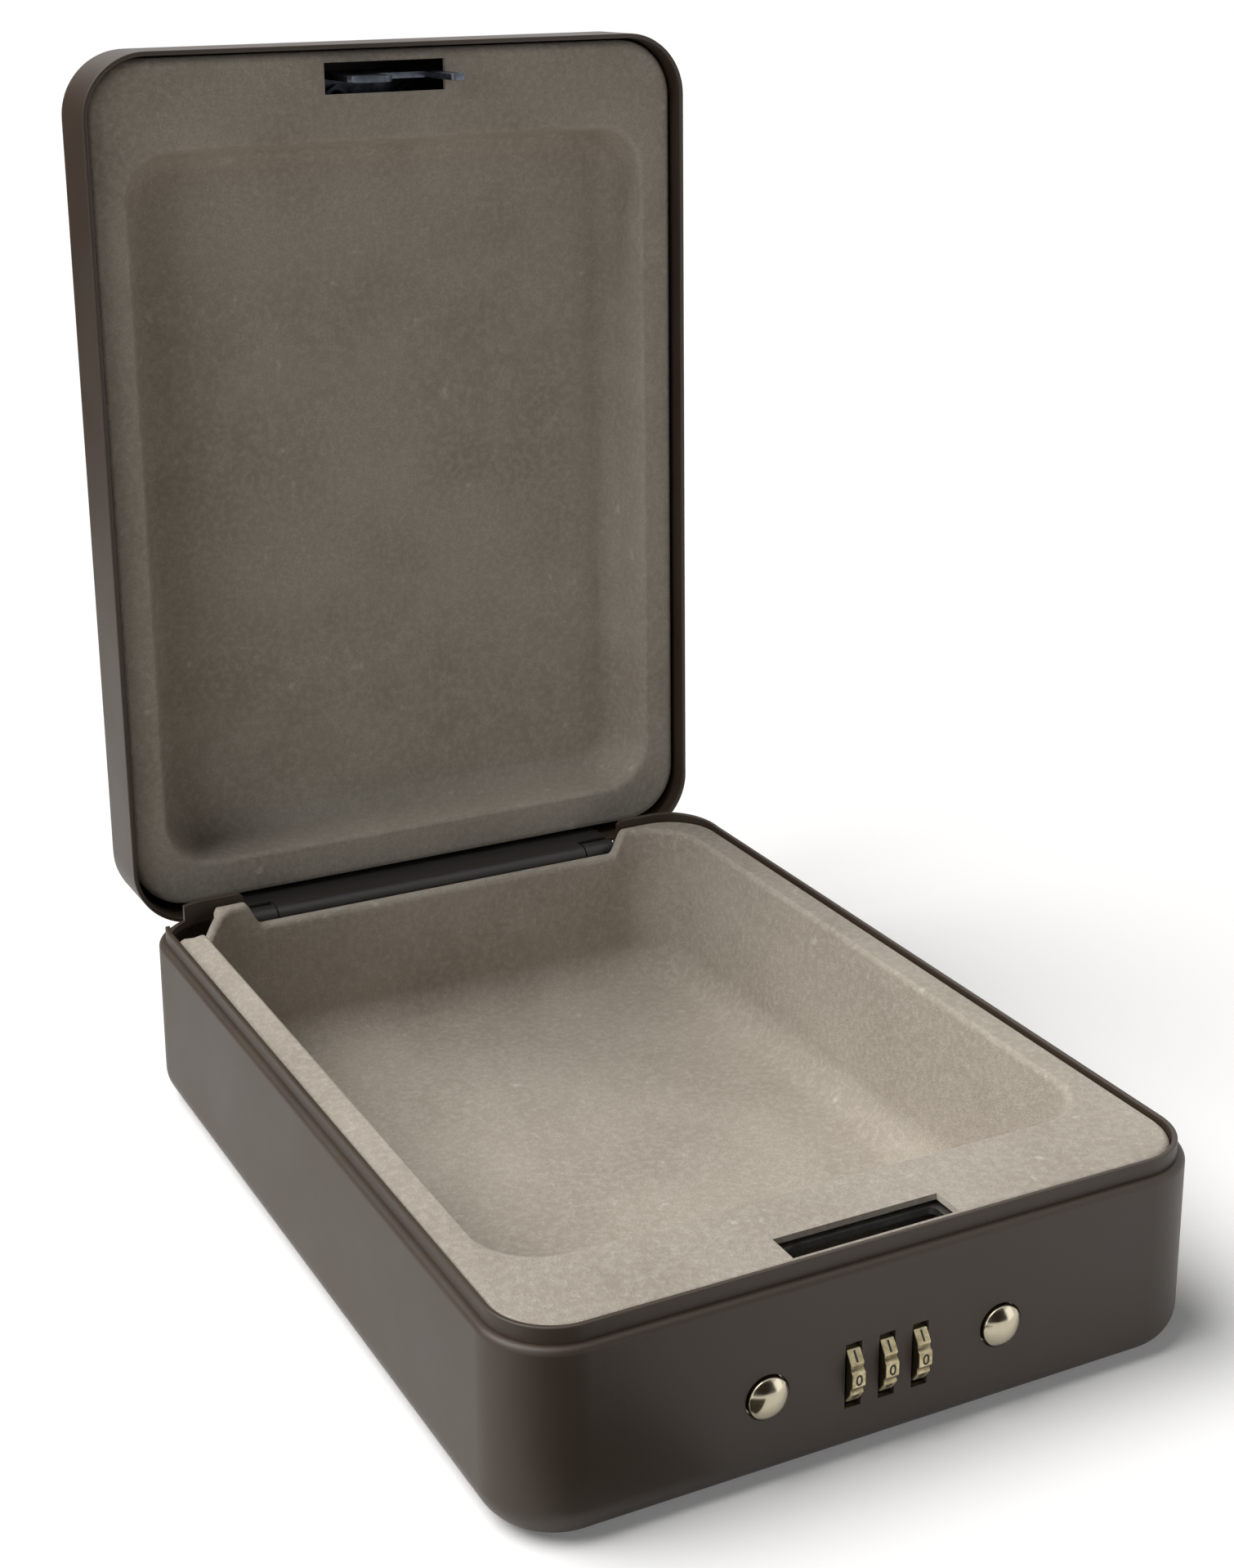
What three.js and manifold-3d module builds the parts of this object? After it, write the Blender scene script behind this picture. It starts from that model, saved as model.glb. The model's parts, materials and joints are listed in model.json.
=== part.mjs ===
// Portable car safe: a drawn steel box with a hinged lid, flocked liners and a three-wheel push-button lock.
// Millimetres, +Z up, front of the box at -Y, origin in the middle of the base's underside.
// Each piece is a closed solid of its own. The lid stands open, and the lock shows its opening number.

import * as THREE from 'three';
import { mergeVertices } from 'three/addons/utils/BufferGeometryUtils.js';
import Module from 'manifold-3d';

const wasm = await Module();
wasm.setup();

// Driving dimensions of the box
const bodyWidth = 165;
const bodyLength = 226;
const baseHeight = 43.6;
const lidDepth = 24;
const cornerRadius = 16.5;
const baseEdgeRadius = 8.5;
const lidEdgeRadius = 6;
const sheet = 1.2;

// Rim: the base wall steps in under the lid's edge and ends in a standing lip
const shoulderRadius = 1.5;
const lipInset = 1.8;
const lipHeight = 3.6;
const lipEndChamfer = 1.2;
const earRise = 1.3;
const earLength = 3;
const earSlopeLength = 14;
const cableNotchWidth = 10;
const cableNotchLength = 12.8;
const cableNotchSill = 0.6;

// Clearances
const seatGap = 0.3;
const fitGap = 0.3;
const slideGap = 0.4;
const runningGap = 0.1;
const overrun = 1;

// Hinge
const hingeAxisDrop = 4.7;
const hingeAxisOut = 0.3;
const openAngleDegrees = 91;
const barrelRadius = 3;
const hingePinRadius = 1.2;
const hingeLeafSheet = 1;
const hingeLeafCornerGap = 10.8;
const hingeLeafHeight = 17;
const hingeEndKnuckle = 9;
const hingeLeafCorner = 3;
const hingeNotchEndGap = 0.5;

// Flocked liners
const linerSheet = 1.4;
const linerSkirt = 4;
const linerEdgeRadius = 2.2;
const linerMouthRadius = 2.6;
const baseLinerDrop = 0.8;
const baseLedgeWidth = 24.4;
const baseFlangeWidth = 7.8;
const baseRearFlangeWidth = 2;
const baseRecessCorner = 15;
const baseRecessDraft = 3;
const baseFloorRadius = 9;
const baseFloorHeight = 4.6;
const rearDipDrop = 6.4;
const rearDipEndGap = 0.8;
const rearDipCorner = 3;
const lidLinerSink = 4;
const lidFlangeWidth = 9.3;
const lidFrontFlange = 22.5;
const lidRearFlange = 10.9;
const lidRecessCorner = 13;
const lidRecessDraft = 3.5;
const lidFloorRadius = 7;
const lidFloorGap = 1.9;
const lidLinerSideGap = 0.7;
const lidLinerRearGap = 2.3;

// Striker and the slots it passes through
const strikerSheet = 1.6;
const ledgeSlotLength = 39;
const ledgeSlotWidth = 7.9;
const lidWindowLeftGap = 4.1;
const lidWindowRightGap = 0.4;
const lidWindowWidth = 7.9;
const shelfSlotLength = 37;
const shelfSlotCorner = 1.5;
const tongueLeft = -14.5;
const tongueWidth = 11;
const tongueReach = 6;
const tongueNotchRise = 1.9;
const lugRight = 14.2;
const lugWidth = 4.5;
const lugReach = 11.5;
const lugNotchRise = 2.8;
const hookNotchHeight = 2.9;
const hookNotchDepth = 2.9;
const strikerShoulderDepth = 6;
const strikerFootWidth = 10.5;
const strikerStudSpacing = 20;
const strikerStudSetback = 5.6;

// Number wheels
const wheelRadius = 8;
const wheelWidth = 3.1;
const wheelPitch = 7.9;
const wheelDigits = 10;
const wheelHeight = 19.6;
const wheelReach = 2.4;
const wheelGrooveDepth = 0.55;
const wheelFacetShare = 0.62;
const wheelSlotWidth = 3.7;
const wheelSlotHeight = 14.4;
const wheelBore = 3;
const hubDiscWidth = 1.2;
const hubGateWidth = 1.7;
const hubGateDepth = 1.1;
const spindleRadius = 1.5;

// Push buttons
const buttonSpacing = 55.2;
const buttonHeight = 20.5;
const buttonRadius = 4.6;
const buttonDomeHeight = 1.9;
const buttonRimReach = 0.6;
const buttonTravel = 2.5;
const buttonCollarRadius = 5.9;
const buttonCollarWidth = 1.2;
const buttonStemRadius = 2;
const buttonTailSize = 4;
const buttonTailLength = 6.5;
const buttonHoleGap = 0.35;

// Lock frame: a hat-section plate bolted to the front wall
const frameSheet = 1.5;
const frameStandOff = 4.7;
const frameFootLift = 0.5;
const frameTop = 33;
const frameWebGap = 2.5;
const frameFootLength = 8.5;
const frameNeckHalfWidth = 24;
const frameShelfDepth = 9;
const frameShelfFrontRim = 0.9;
const frameShelfBackRim = 2.7;
const frameCheekHeight = 9;
const frameCheekReach = 3.8;
const frameCheekHalfSpan = 15.7;
const frameCheekBackReach = 10.6;
const frameSpringLugReach = 5.6;
const frameSpringLugHeight = 7;
const studRadius = 1.5;
const studHoleGap = 0.35;
const lockStudLowHeight = 13;
const lockStudHighHeight = 28;
const nutAcross = 5.5;
const nutHeight = 2.4;

// Latch slides
const latchSheet = 1.6;
const latchOutward = 7;
const latchCheekGap = 3.4;
const latchGuideEdge = 0.5;
const latchArmWidth = 6.5;
const latchNoseHeight = 2;
const latchNoseSlope = 1.6;
const latchEarReach = 4.8;
const guideCollarGap = 0.8;
const guideRivetRadius = 1.3;
const guideRivetHead = 2.3;
const guideRivetHeadHeight = 0.8;

// Gate bar, detent spring and coil springs
const gateBarHeight = 2.6;
const gateBarDepth = 1.2;
const gateToothWidth = 1;
const detentSheet = 0.4;
const detentFingerWidth = 2.4;
const detentStripHeight = 2.2;
const detentEndDegrees = -30;
const springWire = 0.5;
const buttonSpringRadius = 3.1;
const buttonSpringTurns = 2;
const latchSpringRadius = 1.9;
const latchSpringTurns = 6;
const latchSpringLength = 6.8;

// Smoothness
const cornerSteps = 6;
const filletSteps = 4;
const roundSteps = 24;
const smallRoundSteps = 16;
const springStepsPerTurn = 8;
const springSides = 5;
const domeSteps = 5;

// Places worked out from the dimensions above
const halfWidth = bodyWidth / 2;
const halfLength = bodyLength / 2;
const lipTop = baseHeight + lipHeight;
const earTop = lipTop + earRise;
const lipInner = lipInset + sheet;
const hingeLeafLength = bodyWidth - 2 * (cornerRadius + hingeLeafCornerGap);
const lidRecessDepth = lidDepth - sheet - lidLinerSink - linerSheet - lidFloorGap;
const lidRim = baseHeight + seatGap;
const frontInner = -halfLength + sheet;
const rearInner = halfLength - sheet;
const hingeY = halfLength + hingeAxisOut;
const hingeZ = baseHeight - hingeAxisDrop;
const notchFloor = hingeZ - barrelRadius - 2 * fitGap;
const linerTop = lipTop - baseLinerDrop;
const hubDiscRadius = wheelRadius - wheelReach - sheet - fitGap;
const frameBottom = baseEdgeRadius + frameFootLift;
const wheelY = -halfLength + wheelRadius - wheelReach;
const framePlateFront = frontInner + frameStandOff;
const framePlateBack = framePlateFront + frameSheet;
const latchFront = framePlateBack + slideGap;
const latchBack = latchFront + latchSheet;
const latchInward = buttonSpacing / 2 - frameCheekHalfSpan - latchCheekGap;
const guideOffset = buttonCollarRadius + guideCollarGap + guideRivetHead;
const guideHeights = [buttonHeight - guideOffset, buttonHeight + guideOffset];
const latchHalfHeight = guideOffset + guideRivetHead + latchGuideEdge;
const latchSpringHeight = (lockStudLowHeight + lockStudHighHeight) / 2;
const buttonCollarFront = frontInner + fitGap;
const buttonCollarBack = buttonCollarFront + buttonCollarWidth;
const buttonTailFront = framePlateBack + fitGap;
const buttonTailBack = buttonTailFront + buttonTailLength;
const latchSpringInner = buttonSpacing / 2 + latchOutward + fitGap;
const frameWebHalfSpan = buttonSpacing / 2 + buttonCollarRadius + frameWebGap + frameSheet;
const frameSpringLugHalfSpan = latchSpringInner + latchSpringLength + fitGap + frameSheet;

// The striker hangs in the latches' plane, and the frame's shelf lies just over the higher latch
const strikerY = (latchFront + latchBack) / 2;
const tongueBottom = lidRim - tongueReach;
const lugBottom = lidRim - lugReach;
const tongueNotchBottom = tongueBottom + tongueNotchRise;
const lugNotchBottom = lugBottom + lugNotchRise;
const frameShelfBottom = tongueNotchBottom + fitGap + latchNoseHeight + fitGap;
const frameShelfTop = frameShelfBottom + frameSheet;
const frameShelfFront = -halfLength + lipInner + fitGap + linerEdgeRadius + fitGap;
const frameShelfBack = frameShelfFront + frameShelfDepth;

// Solids

function toSolid(geometry) {
  const bare = geometry.clone();
  bare.deleteAttribute('normal');
  bare.deleteAttribute('uv');
  const merged = mergeVertices(bare, 1e-4);
  return new wasm.Manifold(new wasm.Mesh({
    numProp: 3,
    vertProperties: new Float32Array(merged.attributes.position.array),
    triVerts: new Uint32Array(merged.index.array),
  }));
}

function toGeometry(solid) {
  const mesh = solid.getMesh();
  const geometry = new THREE.BufferGeometry();
  geometry.setAttribute('position', new THREE.Float32BufferAttribute(mesh.vertProperties, mesh.numProp));
  geometry.setIndex(new THREE.Uint32BufferAttribute(mesh.triVerts, 1));
  geometry.computeVertexNormals();
  return geometry;
}

function box(x0, x1, y0, y1, z0, z1) {
  const geometry = new THREE.BoxGeometry(x1 - x0, y1 - y0, z1 - z0);
  geometry.translate((x0 + x1) / 2, (y0 + y1) / 2, (z0 + z1) / 2);
  return toSolid(geometry);
}

// Cylinders along the three axes, from one end to the other
function rodX(radius, x0, x1, y, z, steps = smallRoundSteps) {
  const geometry = new THREE.CylinderGeometry(radius, radius, x1 - x0, steps);
  geometry.rotateZ(Math.PI / 2);
  geometry.translate((x0 + x1) / 2, y, z);
  return toSolid(geometry);
}

function rodY(radius, x, y0, y1, z, steps = smallRoundSteps) {
  const geometry = new THREE.CylinderGeometry(radius, radius, y1 - y0, steps);
  geometry.translate(x, (y0 + y1) / 2, z);
  return toSolid(geometry);
}

function rodZ(radius, x, y, z0, z1, steps = smallRoundSteps) {
  const geometry = new THREE.CylinderGeometry(radius, radius, z1 - z0, steps);
  geometry.rotateX(Math.PI / 2);
  geometry.translate(x, y, (z0 + z1) / 2);
  return toSolid(geometry);
}

// A flat outline pushed through a thickness along one axis
function extrude(points, depth, holes = []) {
  const shape = new THREE.Shape(points.map(([a, b]) => new THREE.Vector2(a, b)));
  for (const hole of holes) {
    shape.holes.push(new THREE.Path(hole.map(([a, b]) => new THREE.Vector2(a, b))));
  }
  return new THREE.ExtrudeGeometry(shape, { depth, bevelEnabled: false, curveSegments: cornerSteps });
}

function plateXY(points, z0, z1, holes) {
  const geometry = extrude(points, z1 - z0, holes);
  geometry.translate(0, 0, z0);
  return toSolid(geometry);
}

function plateXZ(points, y0, y1, holes) {
  const geometry = extrude(points, y1 - y0, holes);
  geometry.rotateX(Math.PI / 2);
  geometry.translate(0, y1, 0);
  return toSolid(geometry);
}

function plateYZ(points, x0, x1, holes) {
  const geometry = extrude(points, x1 - x0, holes);
  geometry.rotateY(Math.PI / 2);
  geometry.rotateX(Math.PI / 2);
  geometry.translate(x0, 0, 0);
  return toSolid(geometry);
}

// An arc of points, angles in degrees
function arc(cx, cy, radius, from, to, steps) {
  const points = [];
  for (let i = 0; i <= steps; i += 1) {
    const angle = THREE.MathUtils.degToRad(from + ((to - from) * i) / steps);
    points.push([cx + radius * Math.cos(angle), cy + radius * Math.sin(angle)]);
  }
  return points;
}

function roundedRect(x0, x1, y0, y1, radius, steps = cornerSteps) {
  return [
    ...arc(x1 - radius, y0 + radius, radius, 270, 360, steps),
    ...arc(x1 - radius, y1 - radius, radius, 0, 90, steps),
    ...arc(x0 + radius, y1 - radius, radius, 90, 180, steps),
    ...arc(x0 + radius, y0 + radius, radius, 180, 270, steps),
  ];
}

// A closed skin through rounded-rectangle rings, each { z, inset } of one plan
function loft(plan, rings) {
  const outlines = rings.map(({ z, inset }) => {
    const radius = Math.max(plan.corner - inset, plan.leastCorner);
    return roundedRect(plan.x0 + inset, plan.x1 - inset, plan.y0 + inset, plan.y1 - inset, radius)
      .map(([x, y]) => [x, y, z]);
  });
  const count = outlines[0].length;
  const vertices = outlines.flat(2);
  const index = [];
  for (let ring = 0; ring + 1 < outlines.length; ring += 1) {
    for (let i = 0; i < count; i += 1) {
      const a = ring * count + i;
      const b = ring * count + ((i + 1) % count);
      index.push(a, b, b + count, a, b + count, a + count);
    }
  }
  const last = (outlines.length - 1) * count;
  for (let i = 1; i + 1 < count; i += 1) {
    index.push(0, i + 1, i);
    index.push(last, last + i, last + i + 1);
  }
  const geometry = new THREE.BufferGeometry();
  geometry.setAttribute('position', new THREE.Float32BufferAttribute(vertices, 3));
  geometry.setIndex(index);
  return toSolid(geometry);
}

// Rings of a quarter round: outward goes from the full inset to none while z rises
function roundRings(z, radius, inset, steps = filletSteps) {
  const rings = [];
  for (let i = 0; i <= steps; i += 1) {
    const angle = (Math.PI / 2) * (i / steps);
    rings.push({ z: z + radius * (1 - Math.cos(angle)), inset: inset + radius * (1 - Math.sin(angle)) });
  }
  return rings;
}

// A wire wound round a straight axis, as one unbroken tube
class HelixCurve extends THREE.Curve {
  constructor(radius, length, turns) {
    super();
    this.radius = radius;
    this.length = length;
    this.turns = turns;
  }

  getPoint(t) {
    const angle = 2 * Math.PI * this.turns * t;
    return new THREE.Vector3(this.radius * Math.cos(angle), this.radius * Math.sin(angle), this.length * t);
  }
}

function coil(radius, length, turns) {
  const section = arc(0, 0, springWire / 2, 0, 360, springSides).slice(0, springSides);
  const shape = new THREE.Shape(section.map(([a, b]) => new THREE.Vector2(a, b)));
  return new THREE.ExtrudeGeometry(shape, {
    extrudePath: new HelixCurve(radius, length - springWire, turns),
    steps: springStepsPerTurn * turns,
    bevelEnabled: false,
  });
}

function hexNut(across, height, bore) {
  const corner = across / Math.sqrt(3);
  const body = toSolid(new THREE.CylinderGeometry(corner, corner, height, 6));
  const hole = toSolid(new THREE.CylinderGeometry(bore, bore, height + 2 * overrun, smallRoundSteps));
  return toGeometry(body.subtract(hole));
}

// Finishes
const finishes = {
  paintedSteel: { color: 0x37322e, roughness: 0.62, metalness: 0.25 },
  flock: { color: 0x857b70, roughness: 0.98, metalness: 0 },
  hingeSteel: { color: 0x3c3a38, roughness: 0.5, metalness: 0.7 },
  zincSteel: { color: 0x9a9c9d, roughness: 0.42, metalness: 0.9 },
  springSteel: { color: 0x8d8f90, roughness: 0.35, metalness: 0.95 },
  brass: { color: 0xa8905c, roughness: 0.38, metalness: 0.9 },
  chrome: { color: 0xd4d2cc, roughness: 0.12, metalness: 1 },
};

function piece(name, geometry, finish) {
  const mesh = new THREE.Mesh(geometry, new THREE.MeshStandardMaterial({ name: finish, ...finishes[finish] }));
  mesh.name = name;
  return mesh;
}

function shellPlan(inset) {
  return {
    x0: -halfWidth + inset,
    x1: halfWidth - inset,
    y0: -halfLength + inset,
    y1: halfLength - inset,
    corner: cornerRadius - inset,
    leastCorner: sheet,
  };
}

// Base shell: drawn tray with a stepped rim, cut for the hinge, the wheels and the buttons
function baseShell() {
  const outside = loft(shellPlan(0), [
    ...roundRings(0, baseEdgeRadius, 0),
    ...roundRings(0, shoulderRadius, 0).reverse().map(({ z, inset }) => ({ z: baseHeight - z, inset })),
    { z: baseHeight, inset: lipInset },
    { z: earTop, inset: lipInset },
  ]);
  const inside = loft(shellPlan(sheet), [
    ...roundRings(sheet, baseEdgeRadius - sheet, 0),
    { z: baseHeight - sheet - lipInset, inset: 0 },
    { z: baseHeight - sheet, inset: lipInset },
    { z: earTop + overrun, inset: lipInset },
  ]);
  let shell = outside.subtract(inside);

  // The lip rises to an ear at each side of the hinge, and a notch for a tether cable parts the left one
  const earFoot = halfLength - earLength;
  const aboveLip = [
    [-halfLength - overrun, lipTop],
    [earFoot - earSlopeLength, lipTop],
    [earFoot, earTop],
    [earFoot, earTop + overrun],
    [-halfLength - overrun, earTop + overrun],
  ];
  shell = shell.subtract(plateYZ(aboveLip, -halfWidth - overrun, halfWidth + overrun));
  shell = shell.subtract(box(
    -halfWidth - overrun,
    -halfWidth + cableNotchWidth,
    halfLength - cableNotchLength,
    halfLength + overrun,
    baseHeight + cableNotchSill,
    earTop + overrun,
  ));

  const notchHalf = hingeLeafLength / 2 + hingeNotchEndGap;
  const notch = [
    [-notchHalf, notchFloor],
    [notchHalf, notchFloor],
    [notchHalf, earTop - lipEndChamfer],
    [notchHalf + lipEndChamfer, earTop],
    [notchHalf + lipEndChamfer, earTop + overrun],
    [-notchHalf - lipEndChamfer, earTop + overrun],
    [-notchHalf - lipEndChamfer, earTop],
    [-notchHalf, earTop - lipEndChamfer],
  ];
  shell = shell.subtract(plateXZ(notch, rearInner - lipInner, halfLength + overrun));

  for (const place of [-1, 0, 1]) {
    const x = place * wheelPitch;
    shell = shell.subtract(box(
      x - wheelSlotWidth / 2,
      x + wheelSlotWidth / 2,
      -halfLength - overrun,
      frontInner + overrun,
      wheelHeight - wheelSlotHeight / 2,
      wheelHeight + wheelSlotHeight / 2,
    ));
  }
  for (const side of [-1, 1]) {
    const x = (side * buttonSpacing) / 2;
    const hole = rodY(buttonRadius + buttonHoleGap, x, -halfLength - overrun, frontInner + overrun, buttonHeight, roundSteps);
    shell = shell.subtract(hole);
    for (const z of [lockStudLowHeight, lockStudHighHeight]) {
      const studEnd = frontInner + frameSheet + fitGap + nutHeight + sheet;
      shell = shell.add(rodY(studRadius, side * lockStudX, frontInner - sheet / 2, studEnd, z));
    }
  }
  return piece('base_shell', toGeometry(shell), 'paintedSteel');
}

// The frame's feet lie outside its webs, and the studs stand in the middle of each foot
const lockStudX = frameWebHalfSpan + frameFootLength / 2;

// Lid shell, drawn in the closed position
function lidShell() {
  const lidTop = lidRim + lidDepth;
  const mirrorRings = (rings, top) => rings.reverse().map(({ z, inset }) => ({ z: top - z, inset }));
  const outside = loft(shellPlan(0), [
    { z: lidRim, inset: 0 },
    ...mirrorRings(roundRings(0, lidEdgeRadius, 0), lidTop),
  ]);
  const inside = loft(shellPlan(sheet), [
    { z: lidRim - overrun, inset: 0 },
    ...mirrorRings(roundRings(0, lidEdgeRadius - sheet, 0), lidTop - sheet),
  ]);
  let shell = outside.subtract(inside);
  for (const side of [-1, 1]) {
    const studEnd = strikerFootUnder - fitGap - nutHeight - sheet;
    shell = shell.add(rodZ(studRadius, (side * strikerStudSpacing) / 2, strikerStudY, studEnd, lidTop - sheet / 2));
  }
  return piece('lid_shell', toGeometry(shell), 'paintedSteel');
}

// The striker's foot lies under the lid's top sheet
const strikerFootTop = lidRim + lidDepth - sheet - fitGap;
const strikerFootUnder = strikerFootTop - strikerSheet;
const strikerStudY = strikerY + strikerStudSetback;

// A flocked tray: a flange with a turned-down edge round a recess. Top of the flange at z = 0.
function flockedTray({ flange, recess, depth, draft, floorRadius }) {
  const flangeOutside = loft(flange, [
    { z: -linerSkirt, inset: 0 },
    ...roundRings(0, linerEdgeRadius, 0).reverse().map(({ z, inset }) => ({ z: -z, inset })),
  ]);
  const flangeInside = loft(flange, [
    { z: -linerSkirt - overrun, inset: linerSheet },
    { z: -linerEdgeRadius, inset: linerSheet },
    { z: -linerSheet, inset: linerEdgeRadius },
  ]);
  const mouth = [];
  for (let i = 0; i <= filletSteps; i += 1) {
    const angle = (Math.PI / 2) * (i / filletSteps);
    mouth.push({
      z: -linerMouthRadius * (1 - Math.sin(angle)),
      inset: -linerMouthRadius * (1 - Math.cos(angle)),
    });
  }
  const floor = roundRings(-depth, floorRadius, draft);
  const tubInside = loft(recess, [...floor, ...mouth, { z: overrun, inset: -linerMouthRadius }]);
  const grown = {
    x0: recess.x0 - linerSheet,
    x1: recess.x1 + linerSheet,
    y0: recess.y0 - linerSheet,
    y1: recess.y1 + linerSheet,
    corner: recess.corner + linerSheet,
    leastCorner: recess.leastCorner + linerSheet,
  };
  const tubOutside = loft(grown, [
    ...roundRings(-depth - linerSheet, floorRadius + linerSheet, draft),
    { z: -linerMouthRadius - linerSheet, inset: 0 },
    { z: -linerSheet, inset: 0 },
  ]);
  const mouthBacking = loft(grown, [
    { z: -linerMouthRadius - linerSheet, inset: 0 },
    { z: -linerSheet, inset: -linerMouthRadius },
    { z: -linerSheet / 2, inset: -linerMouthRadius },
  ]);
  const footprint = loft(flange, [{ z: -depth - linerSheet - overrun, inset: 0 }, { z: 0, inset: 0 }]);
  const tub = tubOutside.add(mouthBacking).intersect(footprint);
  return flangeOutside.subtract(flangeInside.subtract(tub)).add(tub).subtract(tubInside);
}

const baseRecess = {
  x0: -halfWidth + lipInner + fitGap + baseFlangeWidth,
  x1: halfWidth - lipInner - fitGap - baseFlangeWidth,
  y0: -halfLength + lipInner + fitGap + baseLedgeWidth,
  y1: halfLength - lipInner - fitGap - baseRearFlangeWidth - linerSheet,
  corner: baseRecessCorner,
  leastCorner: linerSheet,
};

function baseLiner() {
  const flange = shellPlan(lipInner + fitGap);
  let tray = flockedTray({
    flange: { ...flange, leastCorner: linerSheet },
    recess: baseRecess,
    depth: linerTop - baseFloorHeight,
    draft: baseRecessDraft,
    floorRadius: baseFloorRadius,
  }).translate([0, 0, linerTop]);

  const dipHalf = hingeLeafLength / 2 + rearDipEndGap;
  const dipFloor = linerTop - rearDipDrop;
  const dip = [
    ...arc(-dipHalf + rearDipCorner, dipFloor + rearDipCorner, rearDipCorner, 180, 270, filletSteps),
    ...arc(dipHalf - rearDipCorner, dipFloor + rearDipCorner, rearDipCorner, 270, 360, filletSteps),
    ...arc(dipHalf + rearDipCorner, linerTop - rearDipCorner, rearDipCorner, 180, 90, filletSteps),
    [dipHalf + rearDipCorner, linerTop + overrun],
    [-dipHalf - rearDipCorner, linerTop + overrun],
    ...arc(-dipHalf - rearDipCorner, linerTop - rearDipCorner, rearDipCorner, 90, 0, filletSteps),
  ];
  tray = tray.subtract(plateXZ(dip, baseRecess.y1 - linerMouthRadius, halfLength));

  const slot = roundedRect(
    -ledgeSlotLength / 2,
    ledgeSlotLength / 2,
    strikerY - ledgeSlotWidth / 2,
    strikerY + ledgeSlotWidth / 2,
    fitGap,
    1,
  );
  tray = tray.subtract(plateXY(slot, linerTop - linerSkirt, linerTop + overrun));
  return piece('base_liner', toGeometry(tray), 'flock');
}

const lidRecess = {
  x0: -halfWidth + sheet + lidLinerSideGap + lidFlangeWidth,
  x1: halfWidth - sheet - lidLinerSideGap - lidFlangeWidth,
  y0: -halfLength + sheet + lidLinerSideGap + lidFrontFlange,
  y1: halfLength - sheet - lidLinerRearGap - lidRearFlange,
  corner: lidRecessCorner,
  leastCorner: linerSheet,
};

// The lid's tray opens downward, so it is drawn upside down and turned over about X
function lidLiner() {
  const edge = sheet + lidLinerSideGap;
  const turned = (plan) => ({ ...plan, y0: -plan.y1, y1: -plan.y0 });
  const flange = {
    ...shellPlan(edge),
    y1: halfLength - sheet - lidLinerRearGap,
    leastCorner: linerSheet,
  };
  let tray = flockedTray({
    flange: turned(flange),
    recess: turned(lidRecess),
    depth: lidRecessDepth,
    draft: lidRecessDraft,
    floorRadius: lidFloorRadius,
  }).rotate([180, 0, 0]).translate([0, 0, lidRim + lidLinerSink]);
  const window = roundedRect(
    tongueLeft - lidWindowLeftGap,
    lugRight + lidWindowRightGap,
    strikerY - lidWindowWidth / 2,
    strikerY + lidWindowWidth / 2,
    fitGap,
    1,
  );
  tray = tray.subtract(plateXY(window, lidRim, lidRim + lidLinerSink + linerSkirt));
  return piece('lid_liner', toGeometry(tray), 'flock');
}

// Hinge: the base's knuckles stand at both ends, and the lid's long knuckle fills the middle
const knuckleInner = hingeLeafLength / 2 - hingeEndKnuckle;
const knuckleClear = barrelRadius + fitGap;
const hingeBore = hingePinRadius + runningGap;

function hingeBaseLeaf() {
  const half = hingeLeafLength / 2;
  const leafBack = rearInner;
  const leafFront = rearInner - hingeLeafSheet;
  const bottom = hingeZ - hingeLeafHeight;
  const outline = [
    ...arc(-half + hingeLeafCorner, bottom + hingeLeafCorner, hingeLeafCorner, 180, 270, filletSteps),
    ...arc(half - hingeLeafCorner, bottom + hingeLeafCorner, hingeLeafCorner, 270, 360, filletSteps),
    [half, hingeZ],
    [knuckleInner, hingeZ],
    [knuckleInner, hingeZ - knuckleClear],
    [-knuckleInner, hingeZ - knuckleClear],
    [-knuckleInner, hingeZ],
    [-half, hingeZ],
  ];
  let leaf = plateXZ(outline, leafFront, leafBack);
  for (const side of [-1, 1]) {
    const from = Math.min(side * knuckleInner, side * half);
    leaf = leaf.add(rodX(barrelRadius, from, from + hingeEndKnuckle, hingeY, hingeZ, roundSteps));
  }
  leaf = leaf.subtract(rodX(hingeBore, -half - overrun, half + overrun, hingeY, hingeZ));
  return piece('hinge_base_leaf', toGeometry(leaf), 'hingeSteel');
}

// The lid's leaf, closed: it stands on the pin's inner side and runs up inside the lid's rear wall
function hingeLidLeaf() {
  const half = hingeLeafLength / 2;
  const leafBack = rearInner - fitGap;
  const leafFront = leafBack - hingeLeafSheet;
  const top = hingeZ + hingeLeafHeight;
  const inner = knuckleInner - fitGap;
  const outline = [
    [-inner, hingeZ],
    [inner, hingeZ],
    [inner, hingeZ + knuckleClear],
    [half, hingeZ + knuckleClear],
    ...arc(half - hingeLeafCorner, top - hingeLeafCorner, hingeLeafCorner, 0, 90, filletSteps),
    ...arc(-half + hingeLeafCorner, top - hingeLeafCorner, hingeLeafCorner, 90, 180, filletSteps),
    [-half, hingeZ + knuckleClear],
    [-inner, hingeZ + knuckleClear],
  ];
  const knuckle = rodX(barrelRadius, -inner, inner, hingeY, hingeZ, roundSteps);
  const bore = rodX(hingeBore, -half, half, hingeY, hingeZ);
  const leaf = plateXZ(outline, leafFront, leafBack).add(knuckle).subtract(bore);
  return piece('hinge_lid_leaf', toGeometry(leaf), 'hingeSteel');
}

function hingePin() {
  const half = hingeLeafLength / 2;
  return piece('hinge_pin', toGeometry(rodX(hingePinRadius, -half, half, hingeY, hingeZ)), 'zincSteel');
}

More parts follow.
